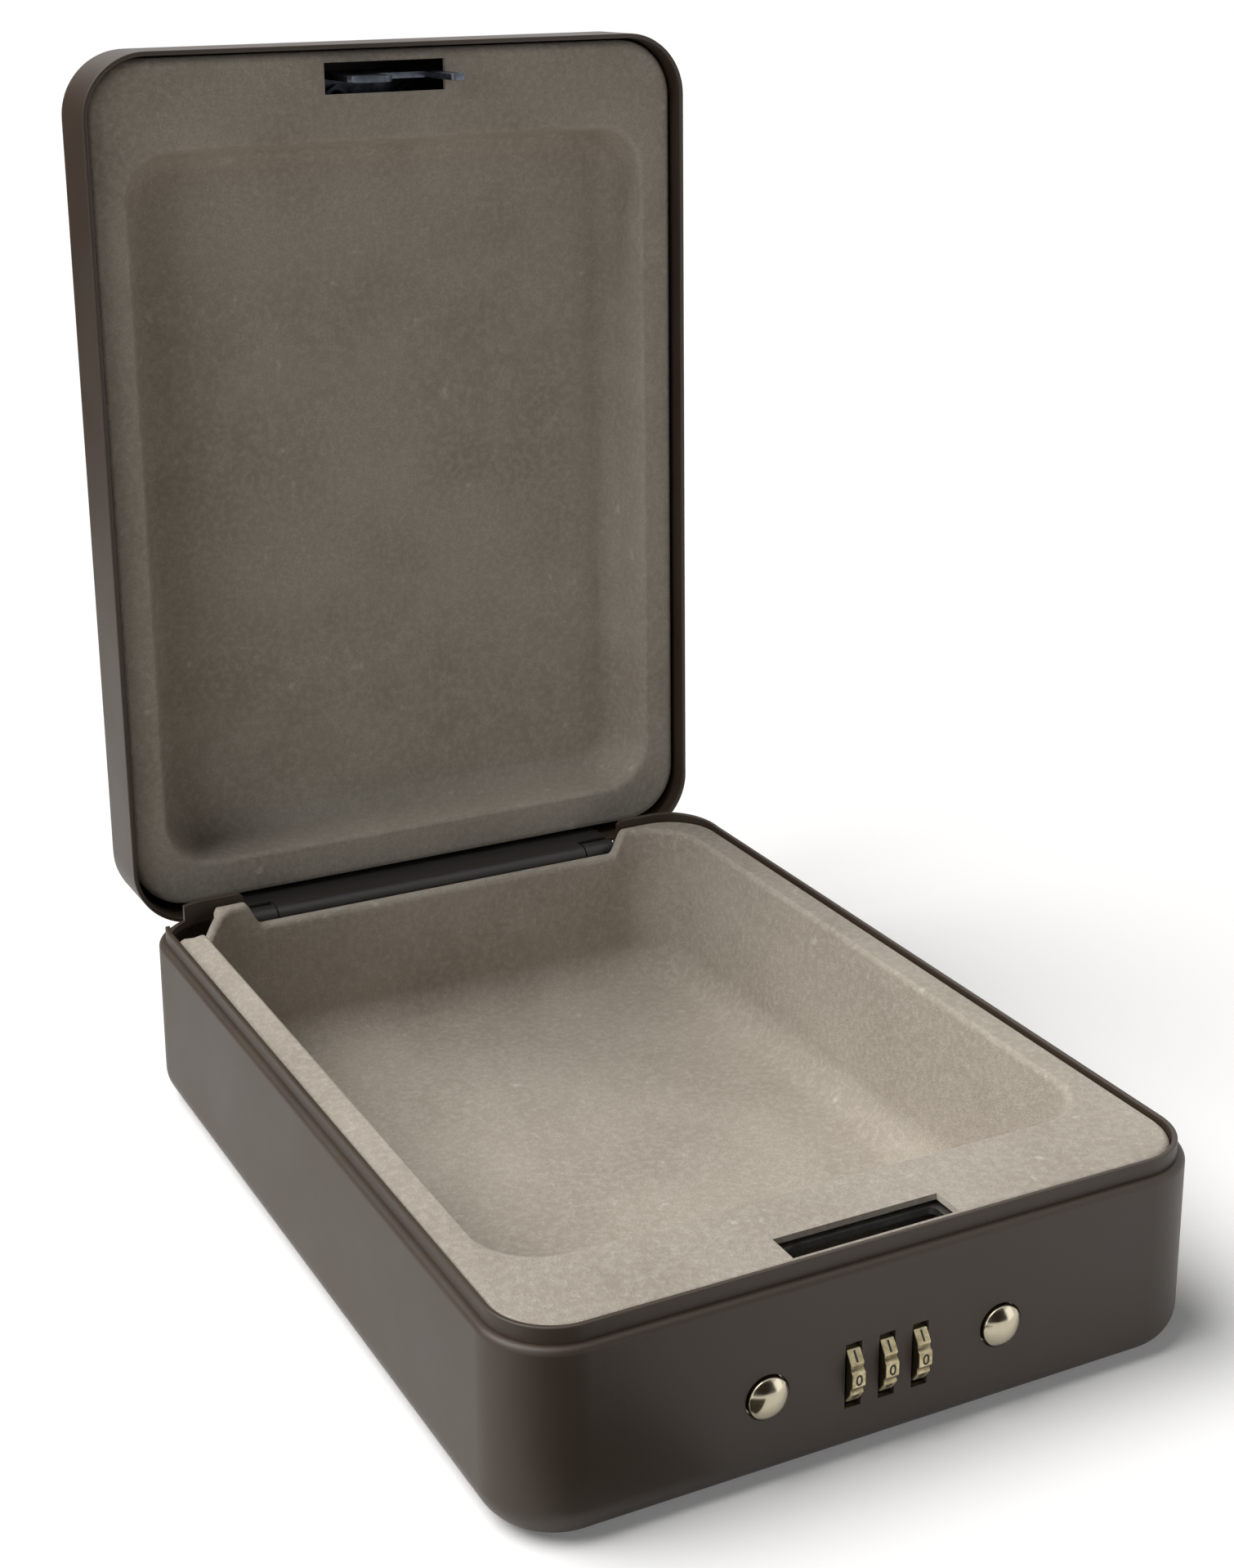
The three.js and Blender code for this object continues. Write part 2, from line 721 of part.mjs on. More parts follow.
// Striker: one bent plate with a wide rounded tongue and a longer narrow lug, each notched for a latch
function strikerPlate() {
  const tongueRight = tongueLeft + tongueWidth;
  const lugLeft = lugRight - lugWidth;
  const shoulder = lidRim + strikerShoulderDepth;
  const tongueRound = tongueWidth / 4;
  const lugRound = lugWidth / 4;
  const plate = [
    [tongueLeft, strikerFootTop],
    [tongueLeft, tongueNotchBottom + hookNotchHeight],
    [tongueLeft + hookNotchDepth, tongueNotchBottom + hookNotchHeight],
    [tongueLeft + hookNotchDepth, tongueNotchBottom],
    [tongueLeft, tongueNotchBottom],
    [tongueLeft + tongueRound, tongueBottom],
    ...arc(tongueRight - tongueRound, tongueBottom + tongueRound, tongueRound, 270, 360, filletSteps),
    [tongueRight, shoulder],
    [lugLeft, shoulder],
    ...arc(lugLeft + lugRound, lugBottom + lugRound, lugRound, 180, 270, filletSteps),
    [lugRight - lugRound, lugBottom],
    [lugRight, lugNotchBottom],
    [lugRight - hookNotchDepth, lugNotchBottom],
    [lugRight - hookNotchDepth, lugNotchBottom + hookNotchHeight],
    [lugRight, lugNotchBottom + hookNotchHeight],
    [lugRight, strikerFootTop],
  ];
  const front = strikerY - strikerSheet / 2;
  let striker = plateXZ(plate, front, front + strikerSheet);
  const foot = box(tongueLeft, lugRight, front, front + strikerFootWidth, strikerFootUnder, strikerFootTop);
  striker = striker.add(foot);
  for (const side of [-1, 1]) {
    const x = (side * strikerStudSpacing) / 2;
    const hole = rodZ(studRadius + studHoleGap, x, strikerStudY, strikerFootUnder - overrun, strikerFootTop + overrun);
    striker = striker.subtract(hole);
  }
  return piece('striker_plate', toGeometry(striker), 'zincSteel');
}

function strikerNut(name, side) {
  const nut = piece(name, hexNut(nutAcross, nutHeight, studRadius + studHoleGap), 'zincSteel');
  nut.rotation.x = Math.PI / 2;
  nut.position.set((side * strikerStudSpacing) / 2, strikerStudY, strikerFootUnder - fitGap - nutHeight / 2);
  return nut;
}

// Lock frame: feet, webs and back plate in one hat section, with a shelf under the ledge's slot
function lockFrame() {
  const web = frameWebHalfSpan;
  const foot = web + frameFootLength;
  const inner = web - frameSheet;
  const hat = [
    [-foot, frontInner],
    [-inner, frontInner],
    [-inner, framePlateFront],
    [inner, framePlateFront],
    [inner, frontInner],
    [foot, frontInner],
    [foot, frontInner + frameSheet],
    [web, frontInner + frameSheet],
    [web, framePlateBack],
    [-web, framePlateBack],
    [-web, frontInner + frameSheet],
    [-foot, frontInner + frameSheet],
  ];
  let frame = plateXY(hat, frameBottom, frameTop);

  const neck = frameNeckHalfWidth;
  frame = frame.add(box(-neck, neck, framePlateFront, framePlateBack, frameTop - overrun, frameShelfTop));
  frame = frame.add(box(-neck, neck, frameShelfFront, frameShelfBack, frameShelfBottom, frameShelfTop));

  const cheek = frameCheekHalfSpan;
  const window = cheek - frameSheet / 2;
  const windowHalf = wheelRadius + 2 * fitGap;
  frame = frame.subtract(box(
    -window,
    window,
    framePlateFront - overrun,
    framePlateBack + overrun,
    wheelHeight - windowHalf,
    wheelHeight + windowHalf,
  ));
  for (const side of [-1, 1]) {
    const place = (a, b) => [Math.min(side * a, side * b), Math.max(side * a, side * b)];
    const [cheek0, cheek1] = place(cheek - frameSheet, cheek);
    frame = frame.add(box(
      cheek0,
      cheek1,
      framePlateFront - frameCheekReach,
      framePlateBack + frameCheekBackReach,
      wheelHeight - frameCheekHeight / 2,
      wheelHeight + frameCheekHeight / 2,
    ));
    const [lug0, lug1] = place(frameSpringLugHalfSpan - frameSheet, frameSpringLugHalfSpan);
    const [arm0, arm1] = place(web - frameSheet, frameSpringLugHalfSpan);
    const lugLow = latchSpringHeight - frameSpringLugHeight / 2;
    const lugHigh = latchSpringHeight + frameSpringLugHeight / 2;
    frame = frame.add(box(arm0, arm1, framePlateFront, framePlateBack, lugLow, lugHigh));
    frame = frame.add(box(lug0, lug1, framePlateFront, framePlateBack + frameSpringLugReach, lugLow, lugHigh));

    const button = (side * buttonSpacing) / 2;
    const stemHole = buttonStemRadius + slideGap;
    frame = frame.subtract(rodY(stemHole, button, framePlateFront - overrun, framePlateBack + overrun, buttonHeight));
    for (const z of guideHeights) {
      const hole = guideRivetRadius + fitGap;
      frame = frame.subtract(rodY(hole, button, framePlateFront - overrun, framePlateBack + overrun, z));
    }
    for (const z of [lockStudLowHeight, lockStudHighHeight]) {
      const hole = studRadius + studHoleGap;
      frame = frame.subtract(rodY(hole, side * lockStudX, frontInner - overrun, frontInner + frameSheet + overrun, z));
    }
  }
  const spindleHole = spindleRadius + fitGap;
  frame = frame.subtract(rodX(spindleHole, -cheek - fitGap, cheek + fitGap, wheelY, wheelHeight));
  frame = frame.subtract(box(
    -cheek - overrun,
    cheek + overrun,
    gateBarFront - fitGap,
    gateBarFront + gateBarDepth + fitGap,
    wheelHeight - gateBarHeight / 2 - fitGap,
    wheelHeight + gateBarHeight / 2 + fitGap,
  ));
  const shelfSlot = roundedRect(
    -shelfSlotLength / 2,
    shelfSlotLength / 2,
    frameShelfFront + frameShelfFrontRim,
    frameShelfBack - frameShelfBackRim,
    shelfSlotCorner,
    filletSteps,
  );
  frame = frame.subtract(plateXY(shelfSlot, frameShelfBottom - fitGap, frameShelfTop + overrun));
  return piece('lock_frame', toGeometry(frame), 'zincSteel');
}

// The gate bar lies behind the wheels and reads the discs between them
const gateBarFront = wheelY + wheelRadius + slideGap;

function lockNut(name, side, z) {
  const nut = piece(name, hexNut(nutAcross, nutHeight, studRadius + studHoleGap), 'zincSteel');
  nut.position.set(side * lockStudX, frontInner + frameSheet + fitGap + nutHeight / 2, z);
  return nut;
}

function guideRivet(name, side, z) {
  const x = (side * buttonSpacing) / 2;
  const frontHead = framePlateFront - fitGap;
  const backHead = latchBack + fitGap;
  const rivet = rodY(guideRivetRadius, x, frontHead - guideRivetHeadHeight, backHead + guideRivetHeadHeight, z)
    .add(rodY(guideRivetHead, x, frontHead - guideRivetHeadHeight, frontHead, z))
    .add(rodY(guideRivetHead, x, backHead, backHead + guideRivetHeadHeight, z));
  return piece(name, toGeometry(rivet), 'zincSteel');
}

function dialSpindle() {
  const half = frameCheekHalfSpan;
  return piece('dial_spindle', toGeometry(rodX(spindleRadius, -half, half, wheelY, wheelHeight)), 'zincSteel');
}

// Number wheel: ten flats parted by hollow grooves, one flat facing forward at rest
function wheelOutline() {
  const points = [];
  const step = 360 / wheelDigits;
  const halfFlat = (step * wheelFacetShare) / 2;
  for (let i = 0; i < wheelDigits; i += 1) {
    const middle = 180 + i * step;
    points.push(...arc(0, 0, wheelRadius, middle - halfFlat, middle + halfFlat, 1));
    const grooveAngle = THREE.MathUtils.degToRad(middle + step / 2);
    const grooveRadius = wheelRadius * Math.cos(THREE.MathUtils.degToRad(step / 2 - halfFlat)) - wheelGrooveDepth;
    const quarter = THREE.MathUtils.degToRad((step / 2 - halfFlat) / 2);
    for (const turn of [-quarter, 0, quarter]) {
      const lift = turn === 0 ? 0 : wheelGrooveDepth / 4;
      const radius = grooveRadius + lift;
      points.push([radius * Math.cos(grooveAngle + turn), radius * Math.sin(grooveAngle + turn)]);
    }
  }
  return points;
}

function numberWheel(name) {
  const bore = arc(0, 0, wheelBore, 360, 0, roundSteps).slice(0, roundSteps);
  const wheel = plateYZ(wheelOutline(), -wheelWidth / 2, wheelWidth / 2, [bore]);
  return piece(name, toGeometry(wheel), 'brass');
}

// Hub: a sleeve in the wheel's bore, with a gated disc on the wheel's right
function wheelHub(name) {
  const discStart = wheelWidth / 2 + fitGap;
  const sleeve = rodX(wheelBore - runningGap, -wheelWidth / 2, discStart + hubDiscWidth, 0, 0, roundSteps);
  const disc = rodX(hubDiscRadius, discStart, discStart + hubDiscWidth, 0, 0, roundSteps);
  const gate = box(
    discStart - overrun,
    discStart + hubDiscWidth + overrun,
    hubDiscRadius - hubGateDepth,
    hubDiscRadius + overrun,
    -hubGateWidth / 2,
    hubGateWidth / 2,
  );
  const bore = rodX(spindleRadius + runningGap, -wheelWidth, discStart + hubDiscWidth + overrun, 0, 0);
  return piece(name, toGeometry(sleeve.add(disc.subtract(gate)).subtract(bore)), 'zincSteel');
}

function gateBar() {
  const half = frameCheekHalfSpan + fitGap;
  let bar = box(
    -half,
    half,
    gateBarFront,
    gateBarFront + gateBarDepth,
    wheelHeight - gateBarHeight / 2,
    wheelHeight + gateBarHeight / 2,
  );
  for (const place of [-1, 0, 1]) {
    const x = place * wheelPitch + wheelWidth / 2 + fitGap + hubDiscWidth / 2;
    bar = bar.add(box(
      x - gateToothWidth / 2,
      x + gateToothWidth / 2,
      wheelY + hubDiscRadius + fitGap,
      gateBarFront + gateBarDepth / 2,
      wheelHeight - gateBarHeight / 2,
      wheelHeight + gateBarHeight / 2,
    ));
  }
  return piece('gate_bar', toGeometry(bar), 'zincSteel');
}

// Detent spring: a comb of three curved leaves on one strip, each under and behind its wheel
function detentSpring() {
  const inner = wheelRadius + fitGap;
  const outer = inner + detentSheet;
  const stripFront = framePlateBack;
  const startAngle = -THREE.MathUtils.radToDeg(Math.acos((stripFront + detentSheet / 2 - wheelY) / outer));
  const finger = [
    ...arc(wheelY, wheelHeight, inner, startAngle, detentEndDegrees, cornerSteps),
    ...arc(wheelY, wheelHeight, outer, detentEndDegrees, startAngle, cornerSteps),
  ];
  const stripTop = wheelHeight - outer * Math.sin(THREE.MathUtils.degToRad(-startAngle)) + detentSheet;
  const half = wheelPitch + detentFingerWidth / 2;
  let spring = box(-half, half, stripFront, stripFront + detentSheet, stripTop - detentStripHeight, stripTop);
  for (const place of [-1, 0, 1]) {
    const x = place * wheelPitch;
    spring = spring.add(plateYZ(finger, x - detentFingerWidth / 2, x + detentFingerWidth / 2));
  }
  return piece('detent_spring', toGeometry(spring), 'springSteel');
}

// Push button: a domed cap, a collar behind the wall, a stem and a tail with a 45 degree wedge
function pushButton(name, side) {
  const rim = -halfLength - buttonRimReach;
  const domeRadius = (buttonRadius ** 2 + buttonDomeHeight ** 2) / (2 * buttonDomeHeight);
  const domeAngle = Math.asin(buttonRadius / domeRadius);
  const stemEnd = buttonTailFront + fitGap;
  const profile = [new THREE.Vector2(0, stemEnd)];
  profile.push(new THREE.Vector2(buttonStemRadius, stemEnd));
  profile.push(new THREE.Vector2(buttonStemRadius, buttonCollarBack));
  profile.push(new THREE.Vector2(buttonCollarRadius, buttonCollarBack));
  profile.push(new THREE.Vector2(buttonCollarRadius, buttonCollarFront));
  profile.push(new THREE.Vector2(buttonRadius, buttonCollarFront));
  for (let i = 0; i < domeSteps; i += 1) {
    const angle = domeAngle * (1 - i / domeSteps);
    const y = rim - buttonDomeHeight + domeRadius * (1 - Math.cos(angle));
    profile.push(new THREE.Vector2(domeRadius * Math.sin(angle), y));
  }
  profile.push(new THREE.Vector2(0, rim - buttonDomeHeight));
  const turned = new THREE.LatheGeometry(profile.reverse(), roundSteps);
  const tail = buttonTailSize / 2;
  const wedge = [
    [-tail, buttonTailFront],
    [tail, buttonTailFront],
    [tail, side > 0 ? buttonTailBack - buttonTailSize : buttonTailBack],
    [-tail, side > 0 ? buttonTailBack : buttonTailBack - buttonTailSize],
  ];
  const tailBar = plateXY(wedge, -tail, tail);
  return piece(name, toGeometry(toSolid(turned).add(tailBar)), 'chrome');
}

// Latch slide: a plate on the frame's back, with a slanted ear behind the button's wedge and a nose above
function latchSlide(name, side, noseBottom, noseTip) {
  const inward = (distance) => -side * distance;
  const plan = (points) => points.map(([a, b]) => [inward(a), b]);
  const armInner = latchInward;
  const armOuter = latchInward - latchArmWidth;
  const top = noseBottom + latchNoseHeight;
  const outline = plan([
    [-latchOutward, buttonHeight - latchHalfHeight],
    [latchInward, buttonHeight - latchHalfHeight],
    [armInner, noseBottom],
    [noseTip, noseBottom],
    [noseTip - latchNoseSlope, top],
    [armOuter, top],
    [armOuter, buttonHeight + latchHalfHeight],
    [-latchOutward, buttonHeight + latchHalfHeight],
  ]);
  let slide = plateXZ(side > 0 ? outline.reverse() : outline, latchFront, latchBack);

  const tail = buttonTailSize / 2;
  const wedgeGap = fitGap * Math.SQRT2;
  const earFoot = latchBack - (buttonTailBack - buttonTailSize) - tail - wedgeGap;
  const opening = plan([
    [earFoot, buttonHeight - tail - slideGap],
    [tail + buttonTravel + slideGap, buttonHeight - tail - slideGap],
    [tail + buttonTravel + slideGap, buttonHeight + tail + slideGap],
    [earFoot, buttonHeight + tail + slideGap],
  ]);
  slide = slide.subtract(plateXZ(side > 0 ? opening.reverse() : opening, latchFront - overrun, latchBack + overrun));
  const earWidth = latchSheet * Math.SQRT2;
  const ear = plan([
    [earFoot - earWidth, latchFront + latchSheet / 2],
    [earFoot - latchSheet / 2, latchFront + latchSheet / 2],
    [earFoot + latchEarReach, latchBack + latchEarReach],
    [earFoot + latchEarReach - earWidth, latchBack + latchEarReach],
  ]);
  slide = slide.add(plateXY(side > 0 ? ear.reverse() : ear, buttonHeight - tail, buttonHeight + tail));

  for (const z of guideHeights) {
    const reach = guideRivetRadius + fitGap;
    const slot = plan([
      [-reach, z - reach],
      [reach + buttonTravel, z - reach],
      [reach + buttonTravel, z + reach],
      [-reach, z + reach],
    ]);
    slide = slide.subtract(plateXZ(side > 0 ? slot.reverse() : slot, latchFront - overrun, latchBack + overrun));
  }
  return piece(name, toGeometry(slide), 'zincSteel');
}

// Coil round a button's stem, between its collar and the frame
function buttonSpring(name) {
  const length = framePlateFront - buttonCollarBack - 2 * fitGap;
  const spring = piece(name, coil(buttonSpringRadius, length, buttonSpringTurns), 'springSteel');
  spring.rotation.x = -Math.PI / 2;
  spring.position.y = buttonCollarBack + fitGap + springWire / 2;
  return spring;
}

// Coil between the frame's spring lug and the latch's outer edge
function latchSpring(name, side) {
  const spring = piece(name, coil(latchSpringRadius, latchSpringLength, latchSpringTurns), 'springSteel');
  spring.rotation.y = (side * Math.PI) / 2;
  const centreY = framePlateBack + fitGap + springWire / 2 + latchSpringRadius;
  spring.position.set(side * (latchSpringInner + springWire / 2), centreY, latchSpringHeight);
  return spring;
}

// Assembly
const sides = [['left', -1], ['right', 1]];
const safe = new THREE.Group();
safe.add(baseShell(), baseLiner(), hingeBaseLeaf(), hingePin(), lockFrame(), dialSpindle(), gateBar(), detentSpring());
for (const [label, side] of sides) {
  safe.add(lockNut(`lock_nut_${label}_lower`, side, lockStudLowHeight));
  safe.add(lockNut(`lock_nut_${label}_upper`, side, lockStudHighHeight));
  safe.add(guideRivet(`guide_rivet_${label}_lower`, side, guideHeights[0]));
  safe.add(guideRivet(`guide_rivet_${label}_upper`, side, guideHeights[1]));
}

const wheels = [['left', -1], ['middle', 0], ['right', 1]];
for (const [label, place] of wheels) {
  const dial = new THREE.Group();
  dial.position.set(place * wheelPitch, wheelY, wheelHeight);
  dial.add(numberWheel(`dial_${label}`), wheelHub(`dial_hub_${label}`));
  safe.add(dial);
}

for (const [label, side] of sides) {
  const button = new THREE.Group();
  button.position.set((side * buttonSpacing) / 2, 0, buttonHeight);
  button.add(pushButton(`button_${label}`, side), buttonSpring(`button_spring_${label}`));
  safe.add(button);
}

// Each nose ends inside its notch at rest, and just clear of the striker when the button is pressed
const latchNoses = {
  left: { bottom: tongueNotchBottom + fitGap, tip: buttonSpacing / 2 + tongueLeft + buttonTravel - fitGap },
  right: { bottom: lugNotchBottom + fitGap, tip: buttonSpacing / 2 - lugRight + buttonTravel - fitGap },
};
for (const [label, side] of sides) {
  const latch = new THREE.Group();
  const { bottom, tip } = latchNoses[label];
  const slide = latchSlide(`latch_${label}`, side, bottom, tip);
  slide.position.x = (side * buttonSpacing) / 2;
  latch.add(slide, latchSpring(`latch_spring_${label}`, side));
  safe.add(latch);
}

// The lid is drawn closed and then swung open about the hinge pin
const lidPivot = new THREE.Group();
lidPivot.position.set(0, hingeY, hingeZ);
lidPivot.rotation.x = THREE.MathUtils.degToRad(-openAngleDegrees);
const lid = new THREE.Group();
lid.position.set(0, -hingeY, -hingeZ);
lid.add(lidShell(), lidLiner(), hingeLidLeaf(), strikerPlate());
for (const [label, side] of sides) {
  lid.add(strikerNut(`striker_nut_${label}`, side));
}
lidPivot.add(lid);
safe.add(lidPivot);

export default safe;
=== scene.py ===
"""Looks of the portable car safe: shells, flocked liners, hinge, striker, number wheels and buttons.

The pieces are drawn closed, in metres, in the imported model's frame: X to the right as seen from the
front, Y to the back and Z up. The lid's pieces are swung open about the hinge once they are made.
"""

import json
import logging
import math
from collections.abc import Callable, Iterator, Sequence
from contextlib import contextmanager
from dataclasses import dataclass, field
from enum import Enum
from typing import Any

import bmesh
import bpy
from mathutils import Matrix, Vector


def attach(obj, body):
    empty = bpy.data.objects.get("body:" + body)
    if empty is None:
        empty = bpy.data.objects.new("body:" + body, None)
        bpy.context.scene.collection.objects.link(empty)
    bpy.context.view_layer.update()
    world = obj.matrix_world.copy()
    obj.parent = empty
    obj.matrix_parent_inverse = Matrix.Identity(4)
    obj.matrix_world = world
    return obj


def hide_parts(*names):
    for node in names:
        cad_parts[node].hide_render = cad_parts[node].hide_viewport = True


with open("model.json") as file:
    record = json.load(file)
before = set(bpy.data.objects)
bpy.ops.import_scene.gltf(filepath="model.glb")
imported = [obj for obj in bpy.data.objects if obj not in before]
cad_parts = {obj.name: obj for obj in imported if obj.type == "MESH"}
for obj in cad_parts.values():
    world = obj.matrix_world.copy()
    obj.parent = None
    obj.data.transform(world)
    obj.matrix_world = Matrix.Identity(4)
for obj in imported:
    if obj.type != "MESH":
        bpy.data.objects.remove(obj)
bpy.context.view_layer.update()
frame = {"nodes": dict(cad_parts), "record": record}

log = logging.getLogger("car_safe")

MM = 0.001
TOUCH = 0.02 * MM
MERGE = TOUCH / 4
SMOOTH_ANGLE = math.radians(32)
FLAT_ANGLE = math.radians(0.5)

Colour = tuple[float, float, float, float]
Socket = bpy.types.NodeSocket
Test = Callable[[list[Vector]], bool]


# Named options and shared places


class Body(Enum):
    """The bodies that pieces ride on."""

    BASE = "base"
    LID = "lid"
    LATCH_LEFT = "latch_left"
    LATCH_RIGHT = "latch_right"
    BUTTON_LEFT = "button_left"
    BUTTON_RIGHT = "button_right"
    DIAL_LEFT = "dial_left"
    DIAL_MIDDLE = "dial_middle"
    DIAL_RIGHT = "dial_right"


class Slot(Enum):
    """The record's material slots, by its own names for them. Its chrome is dressed as bright nickel."""

    PAINTED = "painted_steel"
    FLOCK = "flock"
    HINGE = "hinge_steel"
    ZINC = "zinc_steel"
    SPRING = "spring_steel"
    BRASS = "brass"
    CHROME = "chrome"


class Side(Enum):
    """The places along the front wall, as counts from its middle."""

    LEFT = -1
    MIDDLE = 0
    RIGHT = 1

    @property
    def label(self) -> str:
        """The place's name, as pieces and bodies have it."""
        return self.name.lower()


class Element(Enum):
    """What edit mode selects, with the operators' names."""

    VERTS = "VERT"
    EDGES = "EDGE"
    FACES = "FACE"


@dataclass(frozen=True)
class LockPlaces:
    """Where the number wheels and the push buttons stand in the front wall, in metres."""

    wheel_pitch: float = 7.9 * MM
    wheel_y: float = -107.4 * MM
    wheel_z: float = 19.6 * MM
    button_half_spacing: float = 27.6 * MM
    button_z: float = 20.5 * MM


LOCK = LockPlaces()


# Colours and nodes


def to_linear(code: str) -> Colour:
    """Turn an sRGB hex colour into linear values.

    Args:
        code: The colour as "#rrggbb".

    Returns:
        Linear red, green and blue, and an alpha of 1.
    """
    channels = [int(code[i : i + 2], 16) / 255 for i in (1, 3, 5)]
    linear = [c / 12.92 if c <= 0.04045 else ((c + 0.055) / 1.055) ** 2.4 for c in channels]
    return (*linear, 1.0)


def add_node(
    tree: bpy.types.NodeTree,
    kind: str,
    inputs: dict[str | int, Any] | None = None,
    **settings: Any,
) -> bpy.types.Node:
    """Add a node with its settings, socket values and links.

    Args:
        tree: The node tree to add to.
        kind: The node's type, such as "ShaderNodeMath".
        inputs: For each socket, a value or the output socket that feeds it.
        **settings: Attributes of the node itself.

    Returns:
        The new node.
    """
    node = tree.nodes.new(kind)
    for name, value in settings.items():
        setattr(node, name, value)
    for key, value in (inputs or {}).items():
        if isinstance(value, bpy.types.NodeSocket):
            tree.links.new(value, node.inputs[key])
        else:
            node.inputs[key].default_value = value
    return node


def blank_material(name: str) -> bpy.types.Material:
    """Make a material whose node tree is empty.

    Args:
        name: The material's name.

    Returns:
        The material.
    """
    material = bpy.data.materials.new(name)
    material.use_nodes = True
    material.node_tree.nodes.clear()
    return material


@dataclass
class MaterialSheet:
    """A new material's tree with its shader, its output and its Object coordinates."""

    material: bpy.types.Material
    tree: bpy.types.NodeTree
    shader: bpy.types.Node
    place: Socket

    @classmethod
    def start(cls, name: str, metallic: float, roughness: float, ior: float = 1.5) -> "MaterialSheet":
        """Start a material from its typical values.

        Args:
            name: The material's name.
            metallic: 1 for a bare metal, 0 for anything else.
            roughness: The shader's even roughness.
            ior: The index of refraction.

        Returns:
            The sheet, with the shader linked to the output.
        """
        material = blank_material(name)
        tree = material.node_tree
        typical = {"Metallic": metallic, "Roughness": roughness, "IOR": ior}
        shader = add_node(tree, "ShaderNodeBsdfPrincipled", typical)
        add_node(tree, "ShaderNodeOutputMaterial", {"Surface": shader.outputs["BSDF"]})
        place = add_node(tree, "ShaderNodeTexCoord").outputs["Object"]
        return cls(material, tree, shader, place)

    def noise(self, size_mm: float, detail: float, stretch: Sequence[float] = (1, 1, 1)) -> Socket:
        """Add noise whose features have a real size.

        Args:
            size_mm: The size of one feature in millimetres.
            detail: Octaves of finer noise.
            stretch: How much longer a feature is along each axis.

        Returns:
            The noise value's socket.
        """
        scale = [1 / s for s in stretch]
        mapped = add_node(self.tree, "ShaderNodeMapping", {"Vector": self.place, "Scale": scale})
        settings = {"Vector": mapped.outputs["Vector"], "Scale": 1 / (size_mm * MM), "Detail": detail}
        return add_node(self.tree, "ShaderNodeTexNoise", settings).outputs["Fac"]

    def remap(self, value: Socket, low: float, high: float, to_low: float, to_high: float) -> Socket:
        """Map a value from one range to another, clamped.

        Args:
            value: The socket to map.
            low: Where the source range starts.
            high: Where the source range ends.
            to_low: The result at the start.
            to_high: The result at the end.

        Returns:
            The mapped value's socket.
        """
        ends = {"Value": value, "From Min": low, "From Max": high, "To Min": to_low, "To Max": to_high}
        return add_node(self.tree, "ShaderNodeMapRange", ends).outputs["Result"]

    def vary_roughness(self, pattern: Socket, middle: float, below: float, above: float) -> Socket:
        """Spread a roughness by a noise's usual range, from middle - below to middle + above."""
        return self.remap(pattern, 0.3, 0.7, middle - below, middle + above)

    def blend(self, share: Socket, first: str | Socket, second: str | Socket) -> Socket:
        """Mix two colours.

        Args:
            share: How much of the second colour shows.
            first: The first colour, an sRGB hex value or a socket.
            second: The second colour, an sRGB hex value or a socket.

        Returns:
            The mixed colour's socket.
        """
        first, second = [to_linear(c) if isinstance(c, str) else c for c in (first, second)]
        mix = add_node(self.tree, "ShaderNodeMix", {0: share, 6: first, 7: second}, data_type="RGBA")
        return mix.outputs[2]

    def bump(self, height: Socket, depth_mm: float, strength: float, under: Socket | None = None) -> Socket:
        """Add a bump of a real depth.

        Args:
            height: The socket that gives the height, 0 to 1.
            depth_mm: The depth of the relief in millimetres.
            strength: The bump's strength.
            under: The normal of a coarser bump below this one.

        Returns:
            The normal's socket.
        """
        inputs = {"Height": height, "Distance": depth_mm * MM, "Strength": strength}
        if under is not None:
            inputs["Normal"] = under
        return add_node(self.tree, "ShaderNodeBump", inputs).outputs["Normal"]

    def feed(self, **sockets: Socket) -> bpy.types.Material:
        """Link sockets to the shader.

        Args:
            **sockets: The socket for each of the shader's inputs, with underscores for blanks.

        Returns:
            The material.
        """
        for name, socket in sockets.items():
            self.tree.links.new(socket, self.shader.inputs[name.replace("_", " ")])
        return self.material


# Finishes


@dataclass(frozen=True)
class Finish:
    """What every finish has: its material's name, its roughness, and a method that builds the material."""

    name: str = ""
    roughness: float = 1.0

    def material(self) -> bpy.types.Material:
        """Build the finish's material."""
        raise NotImplementedError

    def start(self, metallic: float) -> MaterialSheet:
        """Start the finish's sheet, 1 for a bare metal and 0 for anything else."""
        return MaterialSheet.start(self.name, metallic=metallic, roughness=self.roughness)


@dataclass(frozen=True)
class PowderCoat(Finish):
    """Baked powder paint on drawn steel: a fine pebbled skin that dulls reflections into a soft sheen."""

    name: str = "fine_texture_powder_coat"
    roughness: float = 0.5
    colour: str = "#372b21"
    worn: str = "#41352a"
    cloud_mm: float = 38
    pebble_mm: float = 0.9
    grit_mm: float = 0.32

    def material(self) -> bpy.types.Material:
        """Build the paint's material.

        Returns:
            The material.
        """
        sheet = self.start(metallic=0.0)
        cloud = sheet.noise(self.cloud_mm, detail=4)
        pebble = sheet.noise(self.pebble_mm, detail=2)
        grit = sheet.noise(self.grit_mm, detail=1)
        colour = sheet.blend(sheet.remap(cloud, 0.35, 0.7, 0, 0.6), self.colour, self.worn)
        rough = sheet.vary_roughness(cloud, self.roughness, 0.04, 0.05)
        normal = sheet.bump(grit, 0.02, 0.35, under=sheet.bump(pebble, 0.035, 0.5))
        return sheet.feed(Base_Color=colour, Roughness=rough, Normal=normal)


